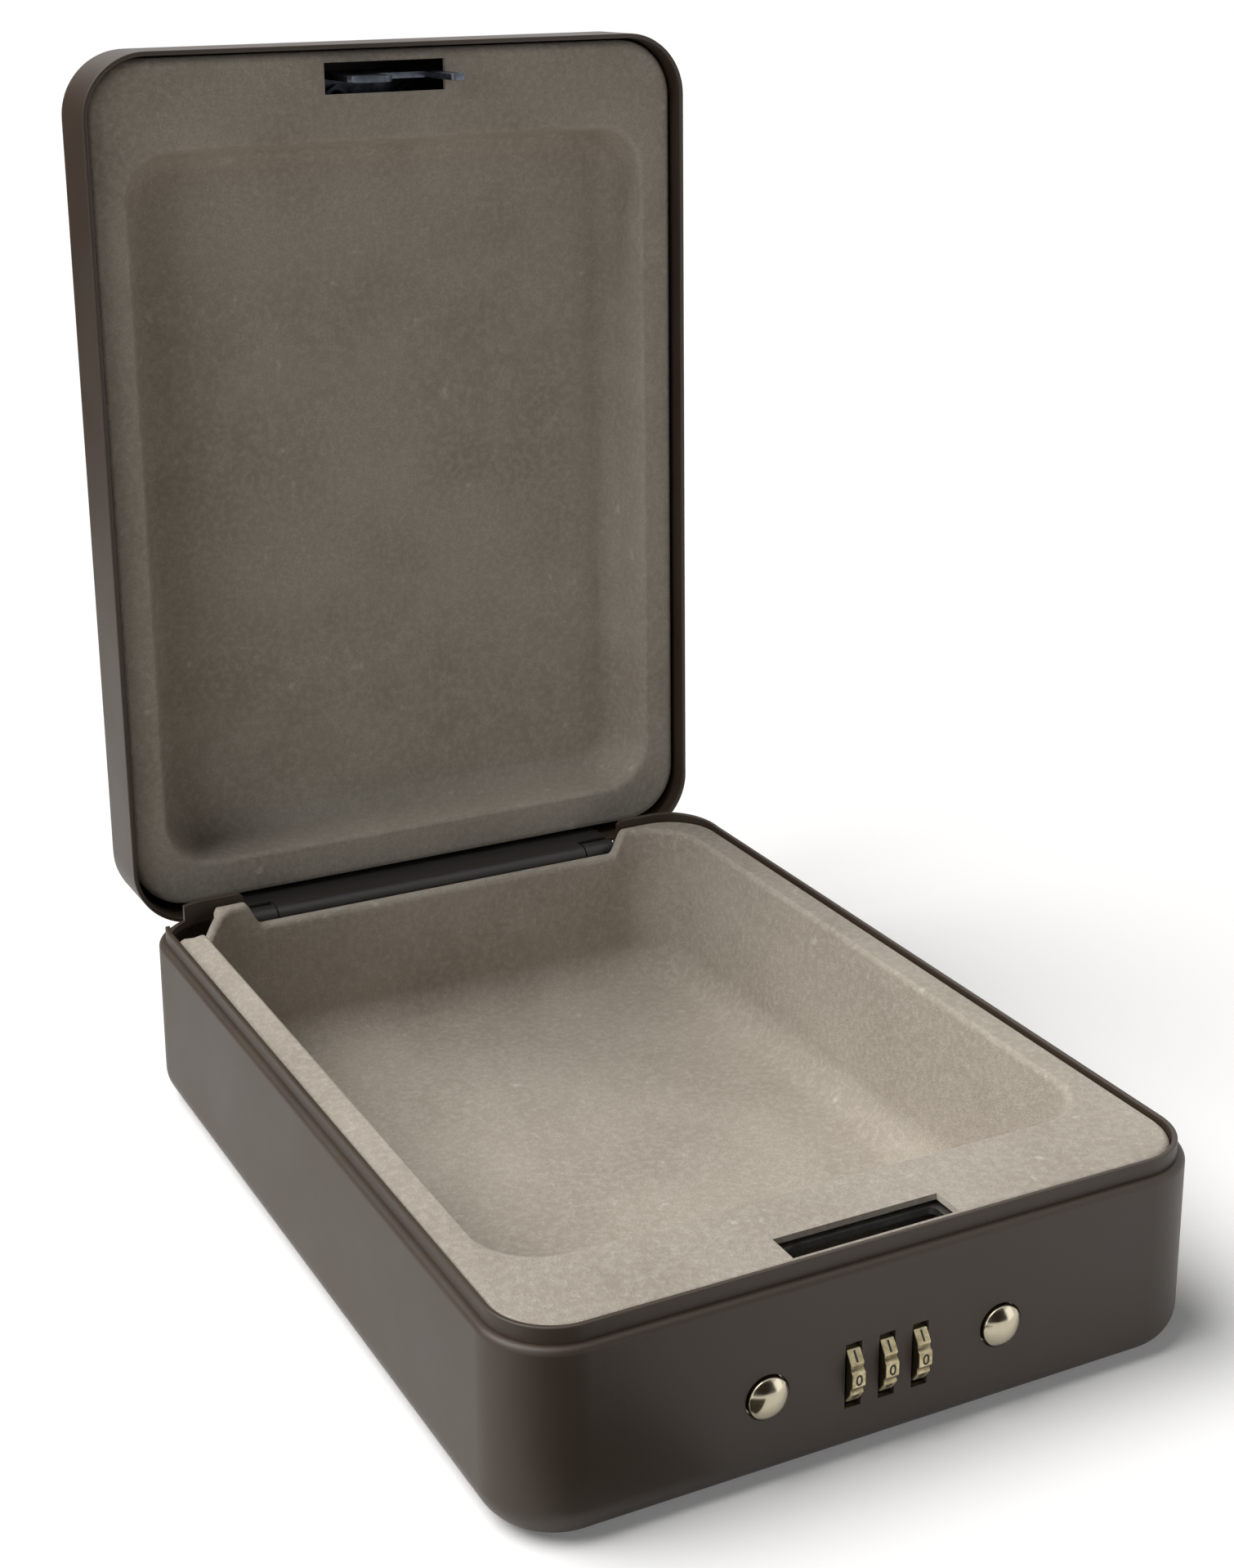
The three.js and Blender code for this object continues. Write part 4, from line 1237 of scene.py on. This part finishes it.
@dataclass
class FlockedTub:
    """A flocked liner: a flange with a rounded, turned-down edge round a recess."""

    name: str
    flange_x: tuple[float, float]
    flange_y: tuple[float, float]
    flange_corner: float
    recess_x: tuple[float, float]
    recess_y: tuple[float, float]
    recess_corner: float
    depth: float
    draft: float
    floor_radius: float
    mouth_radius: float
    edge_radius: float = 2.2 * MM
    skirt: float = 4 * MM
    sheet: float = 1.4 * MM
    corner_steps: int = 16
    floor_steps: int = 10
    edge_steps: int = 6

    def annulus(self) -> bpy.types.Object:
        """Make the flat flange round the recess's mouth, at height 0.

        Returns:
            The flange.
        """
        flange = (self.flange_x, self.flange_y, 0, self.flange_corner)
        mouth = (self.recess_x, self.recess_y, 0, self.recess_corner)
        outer = rounded_plate(self.name, *flange, self.corner_steps)
        inner = rounded_plate("mouth", *mouth, self.corner_steps)
        obj = join(outer, inner)
        with editing(obj, Element.FACES):
            pick_all()
            bpy.ops.mesh.delete(type="ONLY_FACE")
            bpy.ops.mesh.select_mode(type=Element.EDGES.value)
            pick_all()
            bpy.ops.mesh.bridge_edge_loops()
        return obj

    def within_mouth(self, corners: list[Vector]) -> bool:
        """Tell whether all corners lie inside the recess's outline, or on it."""
        return all(
            self.recess_x[0] - TOUCH < c.x < self.recess_x[1] + TOUCH
            and self.recess_y[0] - TOUCH < c.y < self.recess_y[1] + TOUCH
            for c in corners
        )

    def draw_down(self, obj: bpy.types.Object) -> None:
        """Draw the recess and the skirt down from the flange.

        Args:
            obj: The flange.
        """
        half_x = (self.recess_x[1] - self.recess_x[0]) / 2
        half_y = (self.recess_y[1] - self.recess_y[0]) / 2
        middle = (sum(self.recess_x) / 2, sum(self.recess_y) / 2, -self.depth)
        with editing(obj, Element.EDGES):
            pick(obj, Element.EDGES, self.within_mouth, rim=True)
            extrude(z=-self.depth, edges=True)
            bpy.ops.transform.resize(
                value=(1 - self.draft / half_x, 1 - self.draft / half_y, 1),
                center_override=middle,
            )
            bpy.ops.mesh.edge_face_add()
            pick(obj, Element.EDGES, lambda c: at_height(0)(c) and not self.within_mouth(c), rim=True)
            extrude(z=-self.skirt, edges=True)

    def round_edges(self, obj: bpy.types.Object) -> None:
        """Round the floor's edge, the mouth and the flange's outer edge.

        Args:
            obj: The drawn tub.
        """
        with editing(obj, Element.EDGES):
            pick(obj, Element.EDGES, at_height(-self.depth))
            round_off(self.floor_radius, self.floor_steps)
            pick(obj, Element.EDGES, lambda c: at_height(0)(c) and self.follows_mouth(c))
            round_off(self.mouth_radius, self.edge_steps)
            pick(obj, Element.EDGES, lambda c: at_height(0)(c) and self.follows_flange(c))
            round_off(self.edge_radius, self.edge_steps)

    def follows_mouth(self, corners: list[Vector]) -> bool:
        """Tell whether an edge runs along the mouth."""
        return all(on_outline(c, self.recess_x, self.recess_y, self.recess_corner) for c in corners)

    def follows_flange(self, corners: list[Vector]) -> bool:
        """Tell whether an edge runs along the flange's outer edge."""
        return all(on_outline(c, self.flange_x, self.flange_y, self.flange_corner) for c in corners)

    def thicken(self, obj: bpy.types.Object) -> None:
        """Give the liner its thickness, away from the pile side.

        Args:
            obj: The drawn tub, with its edges rounded.
        """
        face_outwards(obj)
        floor = min(obj.data.polygons, key=lambda face: face.center.z)
        if floor.normal.z < 0:
            with editing(obj, Element.FACES):
                pick_all()
                bpy.ops.mesh.flip_normals()
        run_modifier(obj, "SOLIDIFY", thickness=self.sheet, offset=-1, use_even_offset=False)


@dataclass
class BaseLiner:
    """The base's flocked tub: dipped over the hinge, slotted in its ledge and cut away at the cable notch."""

    top: float = 46.4 * MM
    dip_depth: float = 6.4 * MM
    dip_half: float = 54.2 * MM
    dip_slope: float = 4.6 * MM
    dip_columns: int = 8
    # The dip lowers all that lies behind the one and no deeper than the other
    dip_from: float = 98 * MM
    dip_reach: float = 20 * MM
    # Where the rear hump's left side stands, and where the left rail ends
    relief: tuple[float, float] = (-65.3 * MM, 94.9 * MM)
    relief_gap: float = 0.3 * MM
    relief_runout: float = 3 * MM
    relief_zone: float = 5 * MM
    relief_edge: float = 0.55 * MM
    relief_steps: int = 3
    relief_sharper: float = math.radians(50)
    rail_end_radius: float = 2.6 * MM
    hump_radius: float = 4.2 * MM
    valley_depth: float = 6 * MM
    # Degrees round the recess's corner: the rail's end, both ends of the valley's floor, the hump's top
    valley_turns: tuple[float, float, float, float] = (7, 24, 34, 70)
    slot_x: tuple[float, float] = (-19.5 * MM, 19.5 * MM)
    slot_y: tuple[float, float] = (-108.35 * MM, -100.45 * MM)
    cut_depth: float = 6 * MM
    overrun: float = 2 * MM

    def tub(self) -> FlockedTub:
        """Give the tub's sizes."""
        return FlockedTub(
            name="base_liner_made",
            flange_x=(-79.2 * MM, 79.2 * MM),
            flange_y=(-109.7 * MM, 109.7 * MM),
            flange_corner=13.2 * MM,
            recess_x=(-71.4 * MM, 71.4 * MM),
            recess_y=(-85.3 * MM, 106.3 * MM),
            recess_corner=15 * MM,
            depth=41.8 * MM,
            draft=3 * MM,
            floor_radius=9 * MM,
            mouth_radius=1.7 * MM,
            edge_radius=1.6 * MM,
        )

    def dip(self, x: float) -> float:
        """Give how far the rear flange lies below the rest.

        Args:
            x: A place along the hinge.

        Returns:
            The fall in metres, which eases in and out at both ends.
        """
        t = (self.dip_half + self.dip_slope / 2 - abs(x)) / self.dip_slope
        t = min(max(t, 0), 1)
        return self.dip_depth * t * t * (3 - 2 * t)

    def sinks(self, place: Vector) -> bool:
        """Tell whether a place belongs to what the dip lowers."""
        return place.y > self.dip_from and place.z > -self.dip_reach

    def dip_level(self, place: Vector) -> int:
        """Give a place's fall in the dip, in counts of TOUCH, or 0 where it doesn't sink."""
        return round(self.dip(place.x) / TOUCH) if self.sinks(place) else 0

    def sink_rear(self, obj: bpy.types.Object, lean: float) -> None:
        """Lower the rear flange over the hinge, with rounded shoulders at both ends.

        Args:
            obj: The tub, before it gets its thickness.
            lean: How far the recess's wall leans inwards for each metre of depth.
        """
        steps = [(k / self.dip_columns - 0.5) * self.dip_slope for k in range(self.dip_columns + 1)]
        with editing(obj, Element.FACES):
            for x in [side * (self.dip_half + step) for side in (-1, 1) for step in steps]:
                pick(obj, Element.FACES, lambda corners: min(c.y for c in corners) > self.dip_from)
                bpy.ops.mesh.bisect(plane_co=(x, 0, 0), plane_no=(1, 0, 0))
        levels = {self.dip_level(v.co) for v in obj.data.vertices}
        with editing(obj):
            for level in sorted(levels - {0}):
                pick(obj, Element.VERTS, lambda c: self.dip_level(c[0]) == level)
                shift(y=-level * TOUCH * lean, z=-level * TOUCH)

    def valley(self, place: Vector, tub: FlockedTub) -> float:
        """Give how far the rim falls at the cable notch, between the left rail's end and the rear hump.

        Args:
            place: A place on the tub.
            tub: Its sizes.

        Returns:
            The fall in metres.
        """
        across = tub.recess_x[0] + tub.recess_corner - place.x
        along = place.y - (tub.recess_y[1] - tub.recess_corner)
        if place.z < -self.dip_reach or across < 0 or math.hypot(across, along) < tub.recess_corner / 2:
            return 0
        turn = math.degrees(math.atan2(along, across))
        rail, low, high, hump = self.valley_turns
        t = min(max((turn - rail) / (low - rail), 0), max((hump - turn) / (hump - high), 0), 1)
        return self.valley_depth * t * t * (3 - 2 * t)

    def sink_corner(self, obj: bpy.types.Object, tub: FlockedTub) -> None:
        """Lower the rim into the valley, level by level.

        Args:
            obj: The tub, before it gets its thickness.
            tub: Its sizes.
        """
        levels = {round(self.valley(v.co, tub) / TOUCH) for v in obj.data.vertices}
        with editing(obj):
            for level in sorted(levels - {0}, reverse=True):
                pick(obj, Element.VERTS, lambda c: round(self.valley(c[0], tub) / TOUCH) == level)
                shift(z=-level * TOUCH)

    def relieve_corner(self, obj: bpy.types.Object, tub: FlockedTub) -> None:
        """Cut the flange away at the cable notch, up to the recess's rolled mouth and a rounded rail end.

        Args:
            obj: The tub, in place.
            tub: Its sizes.
        """
        x, y = self.relief
        low = self.top - self.valley_depth - self.cut_depth
        high = self.top + self.overrun
        near = (tub.flange_x[0] - self.overrun, y - self.relief_runout, low)
        far = (x + self.hump_radius, tub.flange_y[1] + self.overrun, high)
        cutter = block("relief_cutter", near, far)
        grow = tub.mouth_radius + self.relief_gap
        mouth_x = (tub.recess_x[0] - grow, tub.recess_x[1] + grow)
        mouth_y = (tub.recess_y[0] - grow, tub.recess_y[1] + grow)
        for plan_x, plan_y, corner in (
            (mouth_x, mouth_y, tub.recess_corner + grow),
            ((tub.flange_x[0], tub.recess_x[0]), (0, y), self.rail_end_radius),
            ((x, 0), (0, tub.flange_y[1]), self.hump_radius),
        ):
            kept = rounded_plate("kept", plan_x, plan_y, low - self.overrun / 2, corner, tub.corner_steps)
            with editing(kept, Element.FACES):
                pick_all()
                extrude(z=high - low + self.overrun)
            face_outwards(kept)
            cut_away(cutter, kept)
        cut_away(obj, cutter)

        def near_relief(corners: list[Vector]) -> bool:
            """Tell whether all corners lie in the relief's part of the liner."""
            return all(c.x < far[0] and c.y > y - self.relief_zone for c in corners)

        def on_pile(corners: list[Vector]) -> bool:
            """Tell whether all corners lie on the pile side."""
            falls = [self.valley(Vector((c.x, c.y, 0)), tub) for c in corners]
            return all(c.z > self.top - tub.sheet / 2 - fall for c, fall in zip(corners, falls))

        with editing(obj, Element.EDGES):
            pick(obj, Element.EDGES, lambda c: near_relief(c) and on_pile(c), sharper=self.relief_sharper)
            bpy.ops.mesh.bevel(
                offset=self.relief_edge,
                segments=self.relief_steps,
                affect="EDGES",
                clamp_overlap=True,
            )
            # Slivers where the bevel meets the cut's corners go: half a step of it is too small to keep
            pick(obj, Element.VERTS, near_relief)
            bpy.ops.mesh.remove_doubles(threshold=self.relief_edge / (2 * self.relief_steps))
            bpy.ops.mesh.dissolve_degenerate(threshold=TOUCH)

    def build(self) -> None:
        """Make, dress and seat the base liner."""
        tub = self.tub()
        obj = tub.annulus()
        tub.draw_down(obj)
        tub.round_edges(obj)
        self.sink_rear(obj, tub.draft / tub.depth)
        self.sink_corner(obj, tub)
        tub.thicken(obj)
        with editing(obj):
            pick_all()
            shift(z=self.top)
        low = (self.slot_x[0], self.slot_y[0], self.top - self.cut_depth)
        high = (self.slot_x[1], self.slot_y[1], self.top + self.overrun)
        cut_away(obj, block("ledge_cutter", low, high))
        self.relieve_corner(obj, tub)
        smooth(obj)
        place_piece(obj, "base_liner_flocked", Body.BASE, Slot.FLOCK, ["base_liner"])


@dataclass
class LidLiner:
    """The lid's flocked tub, with the window that the striker stands in."""

    rim: float = LidShell.rim
    sink: float = 4 * MM
    window_x: tuple[float, float] = (-18.6 * MM, 14.6 * MM)
    window_y: tuple[float, float] = BaseLiner.slot_y
    overrun: float = 5 * MM

    def tub(self) -> FlockedTub:
        """Give the tub's sizes."""
        return FlockedTub(
            name="lid_liner_made",
            flange_x=(-80.6 * MM, 80.6 * MM),
            flange_y=(-109.5 * MM, 111.1 * MM),
            flange_corner=14.6 * MM,
            recess_x=(-71.3 * MM, 71.3 * MM),
            recess_y=(-98.6 * MM, 88.6 * MM),
            recess_corner=13 * MM,
            depth=15.5 * MM,
            draft=2.4 * MM,
            floor_radius=5 * MM,
            mouth_radius=1.5 * MM,
        )

    def build(self, pivot: Pivot) -> None:
        """Make, dress and seat the lid liner: drawn face up, turned over about X, then swung open.

        Args:
            pivot: The hinge that it swings on.
        """
        tub = self.tub()
        obj = tub.annulus()
        tub.draw_down(obj)
        tub.round_edges(obj)
        tub.thicken(obj)
        with editing(obj):
            pick_all()
            turn_about_x(math.pi)
            shift(z=self.rim + self.sink)
        low = (self.window_x[0], self.window_y[0], self.rim)
        high = (self.window_x[1], self.window_y[1], self.rim + self.sink + self.overrun)
        cut_away(obj, block("window_cutter", low, high))
        smooth(obj)
        pivot.swing_open(obj)
        place_piece(obj, "lid_liner_flocked", Body.LID, Slot.FLOCK, ["lid_liner"])


@dataclass(frozen=True)
class StampedPart:
    """One part that is made from its solid: its node, its body, its slot and its broken edge."""

    node: str
    body: Body
    slot: Slot
    edge: float

    def build(self) -> None:
        """Make, dress and seat the part."""
        obj = from_solid(self.node, self.edge)
        smooth(obj)
        finish = finish_of(self.node, self.slot)
        place_piece(obj, self.node + "_stamped", self.body, self.slot, [self.node], finish)


@dataclass
class StampedWorks:
    """The stamped and bent metal parts, with their edges broken."""

    parts: tuple[StampedPart, ...] = (
        StampedPart("hinge_base_leaf", Body.BASE, Slot.HINGE, 0.2 * MM),
        StampedPart("hinge_lid_leaf", Body.LID, Slot.HINGE, 0.2 * MM),
        StampedPart("striker_plate", Body.LID, Slot.ZINC, 0.18 * MM),
        StampedPart("lock_frame", Body.BASE, Slot.ZINC, 0.16 * MM),
        StampedPart("latch_left", Body.LATCH_LEFT, Slot.ZINC, 0.16 * MM),
        StampedPart("latch_right", Body.LATCH_RIGHT, Slot.ZINC, 0.16 * MM),
    )

    def build(self) -> None:
        """Make each part."""
        for part in self.parts:
            part.build()


@dataclass
class NumberWheel:
    """A number wheel with its ten digits, 1 standing above 0."""

    side: Side
    radius: float = 8 * MM
    # How much of each tenth of the rim is flat
    facet_share: float = 0.62
    edge: float = 0.22 * MM
    edge_angle: float = 20
    edge_steps: int = 3
    digits: int = 10
    digit_height: float = 2.4 * MM
    # A digit's height as a share of the font's size
    digit_share: float = 0.73
    digit_weight: float = 0.07 * MM
    ink: float = 0.03 * MM
    ink_bite: float = 0.005 * MM

    def digit(self, number: int) -> bpy.types.Object:
        """Make one digit on its flat, as thin lacquer.

        Args:
            number: The digit.

        Returns:
            The digit's mesh.
        """
        step = 2 * math.pi / self.digits
        flat = self.radius * math.cos(step * self.facet_share / 2)
        bpy.ops.object.text_add(location=(0, 0, 0))
        obj = bpy.context.object
        obj.data.body = str(number)
        obj.data.size = self.digit_height / self.digit_share
        obj.data.extrude = self.ink / 2
        obj.data.offset = self.digit_weight
        obj.data.align_x = "CENTER"
        take(obj)
        bpy.ops.object.convert(target="MESH")
        obj = bpy.context.object
        middle = sum((Vector(c) for c in obj.bound_box), Vector()) / len(obj.bound_box)
        centred = Matrix.Translation(-middle)
        stand = Matrix.Rotation(math.pi / 2, 4, "X")
        forward = Matrix.Translation((0, -flat - self.ink / 2 + self.ink_bite, 0))
        turn = Matrix.Rotation(-step * number, 4, "X")
        axis = Matrix.Translation((self.side.value * LOCK.wheel_pitch, LOCK.wheel_y, LOCK.wheel_z))
        obj.matrix_world = axis @ turn @ forward @ stand @ centred
        take(obj)
        settle()
        return obj

    def build(self) -> None:
        """Make, dress and seat the wheel and its digits."""
        label = self.side.label
        body = Body(f"dial_{label}")
        wheel = from_solid(body.value, self.edge, self.edge_angle, self.edge_steps)
        smooth(wheel)
        place_piece(wheel, f"number_wheel_{label}", body, Slot.BRASS, [body.value])
        inked = join(*[self.digit(number) for number in range(self.digits)])
        face_outwards(inked)
        place_piece(inked, f"wheel_digits_{label}", body, Slot.BRASS, finish=StampedInk())


@dataclass
class PushButton:
    """A domed push button with its collar, stem and wedge."""

    side: Side
    radius: float = 4.6 * MM
    dome: float = 1.9 * MM
    dome_steps: tuple[int, int] = (64, 96)
    rim_y: float = -113.6 * MM
    rim_edge: float = 0.22 * MM
    rim_steps: int = 3
    collar_y: tuple[float, float] = (-111.5 * MM, -110.3 * MM)
    collar_radius: float = 5.9 * MM
    stem_radius: float = 2 * MM
    stem_bite: float = 0.2 * MM
    tail_y: tuple[float, float] = (-105.3 * MM, -98.8 * MM)
    tail: float = 4 * MM

    @property
    def x(self) -> float:
        """The button's place across the front."""
        return self.side.value * LOCK.button_half_spacing

    def cap(self) -> bpy.types.Object:
        """Make the dome, its side, the collar and the stem.

        Returns:
            The cap, closed behind the stem.
        """
        ball = (self.radius**2 + self.dome**2) / (2 * self.dome)
        around, rings = self.dome_steps
        bpy.ops.mesh.primitive_uv_sphere_add(
            segments=around,
            ring_count=rings,
            radius=ball,
            location=(self.x, self.rim_y - self.dome + ball, LOCK.button_z),
            rotation=(math.pi / 2, 0, 0),
        )
        obj = bpy.context.object
        settle()
        with editing(obj, Element.EDGES):
            pick_all()
            bpy.ops.mesh.bisect(plane_co=(0, self.rim_y, 0), plane_no=(0, 1, 0), clear_outer=True)
            pick(obj, Element.EDGES, at_y(self.rim_y))
            for y0, y1, grow in self.steps():
                extrude(y=y1 - y0, edges=True)
                middle = (self.x, y1, LOCK.button_z)
                if grow != 1:
                    bpy.ops.transform.resize(value=(grow, 1, grow), center_override=middle)
            bpy.ops.mesh.edge_face_add()
            pick(obj, Element.EDGES, at_y(self.rim_y))
            round_off(self.rim_edge, self.rim_steps)
        return obj

    def steps(self) -> list[tuple[float, float, float]]:
        """List the profile behind the dome as moves.

        Returns:
            For each move: from y, to y, and the growth of the radius at its end.
        """
        collar_front, collar_back = self.collar_y
        to_collar = self.collar_radius / self.radius
        to_stem = self.stem_radius / self.collar_radius
        return [
            (self.rim_y, collar_front, 1),
            (collar_front, collar_front, to_collar),
            (collar_front, collar_back, 1),
            (collar_back, collar_back, to_stem),
            (collar_back, self.tail_y[0] + self.stem_bite, 1),
        ]

    def wedge(self) -> bpy.types.Object:
        """Make the tail with its slanted face.

        Returns:
            The tail.
        """
        half = self.tail / 2
        low = (self.x - half, self.tail_y[0], LOCK.button_z - half)
        high = (self.x + half, self.tail_y[1], LOCK.button_z + half)
        obj = block("wedge", low, high)
        with editing(obj):
            pick_all()
            bpy.ops.mesh.bisect(
                plane_co=(self.x - self.side.value * half, self.tail_y[1], LOCK.button_z),
                plane_no=(self.side.value, 1, 0),
                use_fill=True,
                clear_outer=True,
            )
        return obj

    def build(self) -> None:
        """Make, dress and seat the button."""
        body = Body(f"button_{self.side.label}")
        obj = join(self.cap(), self.wedge())
        face_outwards(obj)
        smooth(obj)
        place_piece(obj, f"push_button_{self.side.label}", body, Slot.CHROME, [body.value])


@dataclass
class HiddenWorks:
    """The solids that stay as they are: pin, spindle, hubs, nuts, rivets, springs and gate bar."""

    subparts: list[dict[str, Any]] = field(default_factory=lambda: frame["record"]["subparts"])

    def build(self) -> None:
        """Dress each solid in its finish, and report those that show."""
        slots = {row["node"]: Slot(row["material_slot"]) for row in self.subparts}
        for name, obj in frame["nodes"].items():
            obj.data.materials.clear()
            obj.data.materials.append(shelf.get(finish_of(name, slots[name])))
            if not obj.hide_render:
                log.info("%s keeps its solid, on slot %s", name, slots[name].value)


# Studio


@dataclass(frozen=True)
class Lamp:
    """A far, broad lamp.

    Its irradiance is what it gives a surface that faces it, where 1 shows a colour as written.
    """

    name: str
    towards: tuple[float, float, float]
    irradiance: float
    spread_degrees: float
    tint: tuple[float, float, float]

    def build(self) -> None:
        """Hang the lamp."""
        data = bpy.data.lights.new(self.name, "SUN")
        data.angle = math.radians(self.spread_degrees)
        data.energy = self.irradiance * math.pi
        data.color = self.tint
        obj = bpy.data.objects.new(self.name, data)
        obj.rotation_euler = Vector(self.towards).to_track_quat("Z", "Y").to_euler()
        bpy.context.scene.collection.objects.link(obj)


@dataclass(frozen=True)
class Panel:
    """A soft panel near the front right, which lights the lid's inside most on its right."""

    name: str = "near_panel"
    place: tuple[float, float, float] = (0.42, -0.42, 0.15)
    aim: tuple[float, float, float] = (0.0, 0.0, 0.05)
    size: float = 0.3
    irradiance: float = 0.078
    tint: tuple[float, float, float] = (0.94, 0.98, 1)

    def build(self) -> None:
        """Hang the panel."""
        data = bpy.data.lights.new(self.name, "AREA")
        data.size = self.size
        away = Vector(self.place) - Vector(self.aim)
        # Straight ahead, a flat lamp gives its power over pi and over the distance squared
        data.energy = self.irradiance * math.pi * math.pi * away.length_squared
        data.color = self.tint
        obj = bpy.data.objects.new(self.name, data)
        obj.location = self.place
        obj.rotation_euler = away.to_track_quat("Z", "Y").to_euler()
        bpy.context.scene.collection.objects.link(obj)


@dataclass(frozen=True)
class Card:
    """A dark card that only shows in reflections, as a dark room does in the photograph."""

    name: str
    place: tuple[float, float, float]
    size: tuple[float, float]
    lean_degrees: float = 0
    colour: str = "#4a453e"

    def build(self) -> None:
        """Stand the card."""
        lean = math.radians(self.lean_degrees)
        bpy.ops.mesh.primitive_plane_add(size=1, location=self.place, rotation=(lean, 0, 0))
        obj = bpy.context.object
        obj.name = self.name
        obj.scale = (*self.size, 1)
        material = blank_material(self.name)
        dark = add_node(material.node_tree, "ShaderNodeBsdfDiffuse", {"Color": to_linear(self.colour)})
        add_node(material.node_tree, "ShaderNodeOutputMaterial", {"Surface": dark.outputs[0]})
        obj.data.materials.append(material)
        obj.visible_camera = obj.visible_diffuse = obj.visible_shadow = False


@dataclass
class Studio:
    """The camera, the pale floor, and the soft light."""

    image_px: tuple[int, int] = (1510, 1918)
    focal_px: float = 3021.5
    centre_px: tuple[float, float] = (711.3, 753.9)
    camera_mm: tuple[float, float, float] = (-245.85, -470.58, 303.18)
    camera_degrees: tuple[float, float, float] = (73.474, 0.4028, -26.6994)
    camera_sees: tuple[float, float] = (0.01, 50)
    sensor: float = 36.0
    fill: float = 0.03
    fill_tint: Colour = (1, 0.985, 0.96, 1)
    white: Colour = (1, 1, 1, 1)
    floor_size: float = 8
    floor_glow: float = 0.1
    floor_bounce: str = "#a8a49f"
    lamps: tuple[Lamp, ...] = (
        Lamp(
            "key_lamp",
            towards=(-0.5, 0.2, 0.84),
            irradiance=1.1,
            spread_degrees=52,
            tint=(1, 0.99, 0.97),
        ),
        Lamp(
            "side_lamp",
            towards=(-0.8, -0.55, 0.2),
            irradiance=0.13,
            spread_degrees=30,
            tint=(0.94, 0.98, 1),
        ),
    )
    panel: Panel = Panel()
    cards: tuple[Card, ...] = (
        Card("dark_room_in_front", place=(-0.6, -1.3, 0.7), size=(3.0, 1.2), lean_degrees=90),
        Card("dark_room_behind", place=(-0.5, 0.6, 0.32), size=(0.8, 0.62), lean_degrees=90),
        Card("dark_table_in_front", place=(-0.0925, -0.2, 0.001), size=(0.115, 0.16)),
    )

    def camera(self) -> None:
        """Set the camera at the photograph's place and framing."""
        wide, high = self.image_px
        data = bpy.data.cameras.new("camera")
        data.sensor_width = self.sensor
        data.lens = self.focal_px / high * self.sensor
        data.shift_x = (wide / 2 - self.centre_px[0]) / high
        data.shift_y = (self.centre_px[1] - high / 2) / high
        data.clip_start, data.clip_end = self.camera_sees
        obj = bpy.data.objects.new("camera", data)
        obj.location = [c * MM for c in self.camera_mm]
        obj.rotation_euler = [math.radians(a) for a in self.camera_degrees]
        bpy.context.scene.collection.objects.link(obj)
        bpy.context.scene.camera = obj

    def seen(self, tree: bpy.types.NodeTree) -> Socket:
        """Tell the rays that show a thing from those that only light by it.

        Args:
            tree: The node tree to add to.

        Returns:
            A socket with 1 for camera, glossy and transmission rays, and 0 for the rest.
        """
        path = add_node(tree, "ShaderNodeLightPath").outputs
        two = {0: path["Is Camera Ray"], 1: path["Is Glossy Ray"]}
        first = add_node(tree, "ShaderNodeMath", two, operation="MAXIMUM")
        all_three = {0: first.outputs[0], 1: path["Is Transmission Ray"]}
        return add_node(tree, "ShaderNodeMath", all_three, operation="MAXIMUM").outputs[0]

    def world(self) -> None:
        """Light the room evenly and dimly, and show it white."""
        world = bpy.data.worlds.new("room")
        bpy.context.scene.world = world
        world.use_nodes = True
        tree = world.node_tree
        tree.nodes.clear()
        dim = add_node(tree, "ShaderNodeBackground", {"Color": self.fill_tint, "Strength": self.fill})
        white = add_node(tree, "ShaderNodeBackground", {"Color": self.white, "Strength": 1.0})
        ends = {0: self.seen(tree), 1: dim.outputs[0], 2: white.outputs[0]}
        mix = add_node(tree, "ShaderNodeMixShader", ends)
        add_node(tree, "ShaderNodeOutputWorld", {"Surface": mix.outputs[0]})

    def floor(self) -> None:
        """Lay the pale floor, which keeps the shadow."""
        bpy.ops.mesh.primitive_plane_add(size=self.floor_size, location=(0, 0, 0))
        obj = bpy.context.object
        obj.name = "floor"
        material = blank_material("pale_floor")
        tree = material.node_tree
        pale = add_node(tree, "ShaderNodeBsdfDiffuse", {"Color": self.white})
        glow = add_node(tree, "ShaderNodeEmission", {"Color": self.white, "Strength": self.floor_glow})
        shown = add_node(tree, "ShaderNodeAddShader", {0: pale.outputs[0], 1: glow.outputs[0]})
        dim = add_node(tree, "ShaderNodeBsdfDiffuse", {"Color": to_linear(self.floor_bounce)})
        ends = {0: self.seen(tree), 1: dim.outputs[0], 2: shown.outputs[0]}
        mix = add_node(tree, "ShaderNodeMixShader", ends)
        add_node(tree, "ShaderNodeOutputMaterial", {"Surface": mix.outputs[0]})
        obj.data.materials.append(material)

    def build(self) -> None:
        """Set up the whole studio."""
        self.camera()
        self.world()
        self.floor()
        for fixture in (*self.lamps, self.panel, *self.cards):
            fixture.build()
        bpy.context.scene.view_settings.view_transform = "Standard"
        log.info("studio is ready")


def main() -> None:
    """Build the studio and the sub-assemblies in order."""
    logging.basicConfig(level=logging.INFO, format="%(message)s")
    pivot = Pivot()
    Studio().build()
    BaseShell().build()
    BaseLiner().build()
    LidShell().build(pivot)
    LidLiner().build(pivot)
    StampedWorks().build()
    for side in Side:
        NumberWheel(side).build()
    for side in (Side.LEFT, Side.RIGHT):
        PushButton(side).build()
    HiddenWorks().build()


if __name__ == "__main__":
    main()
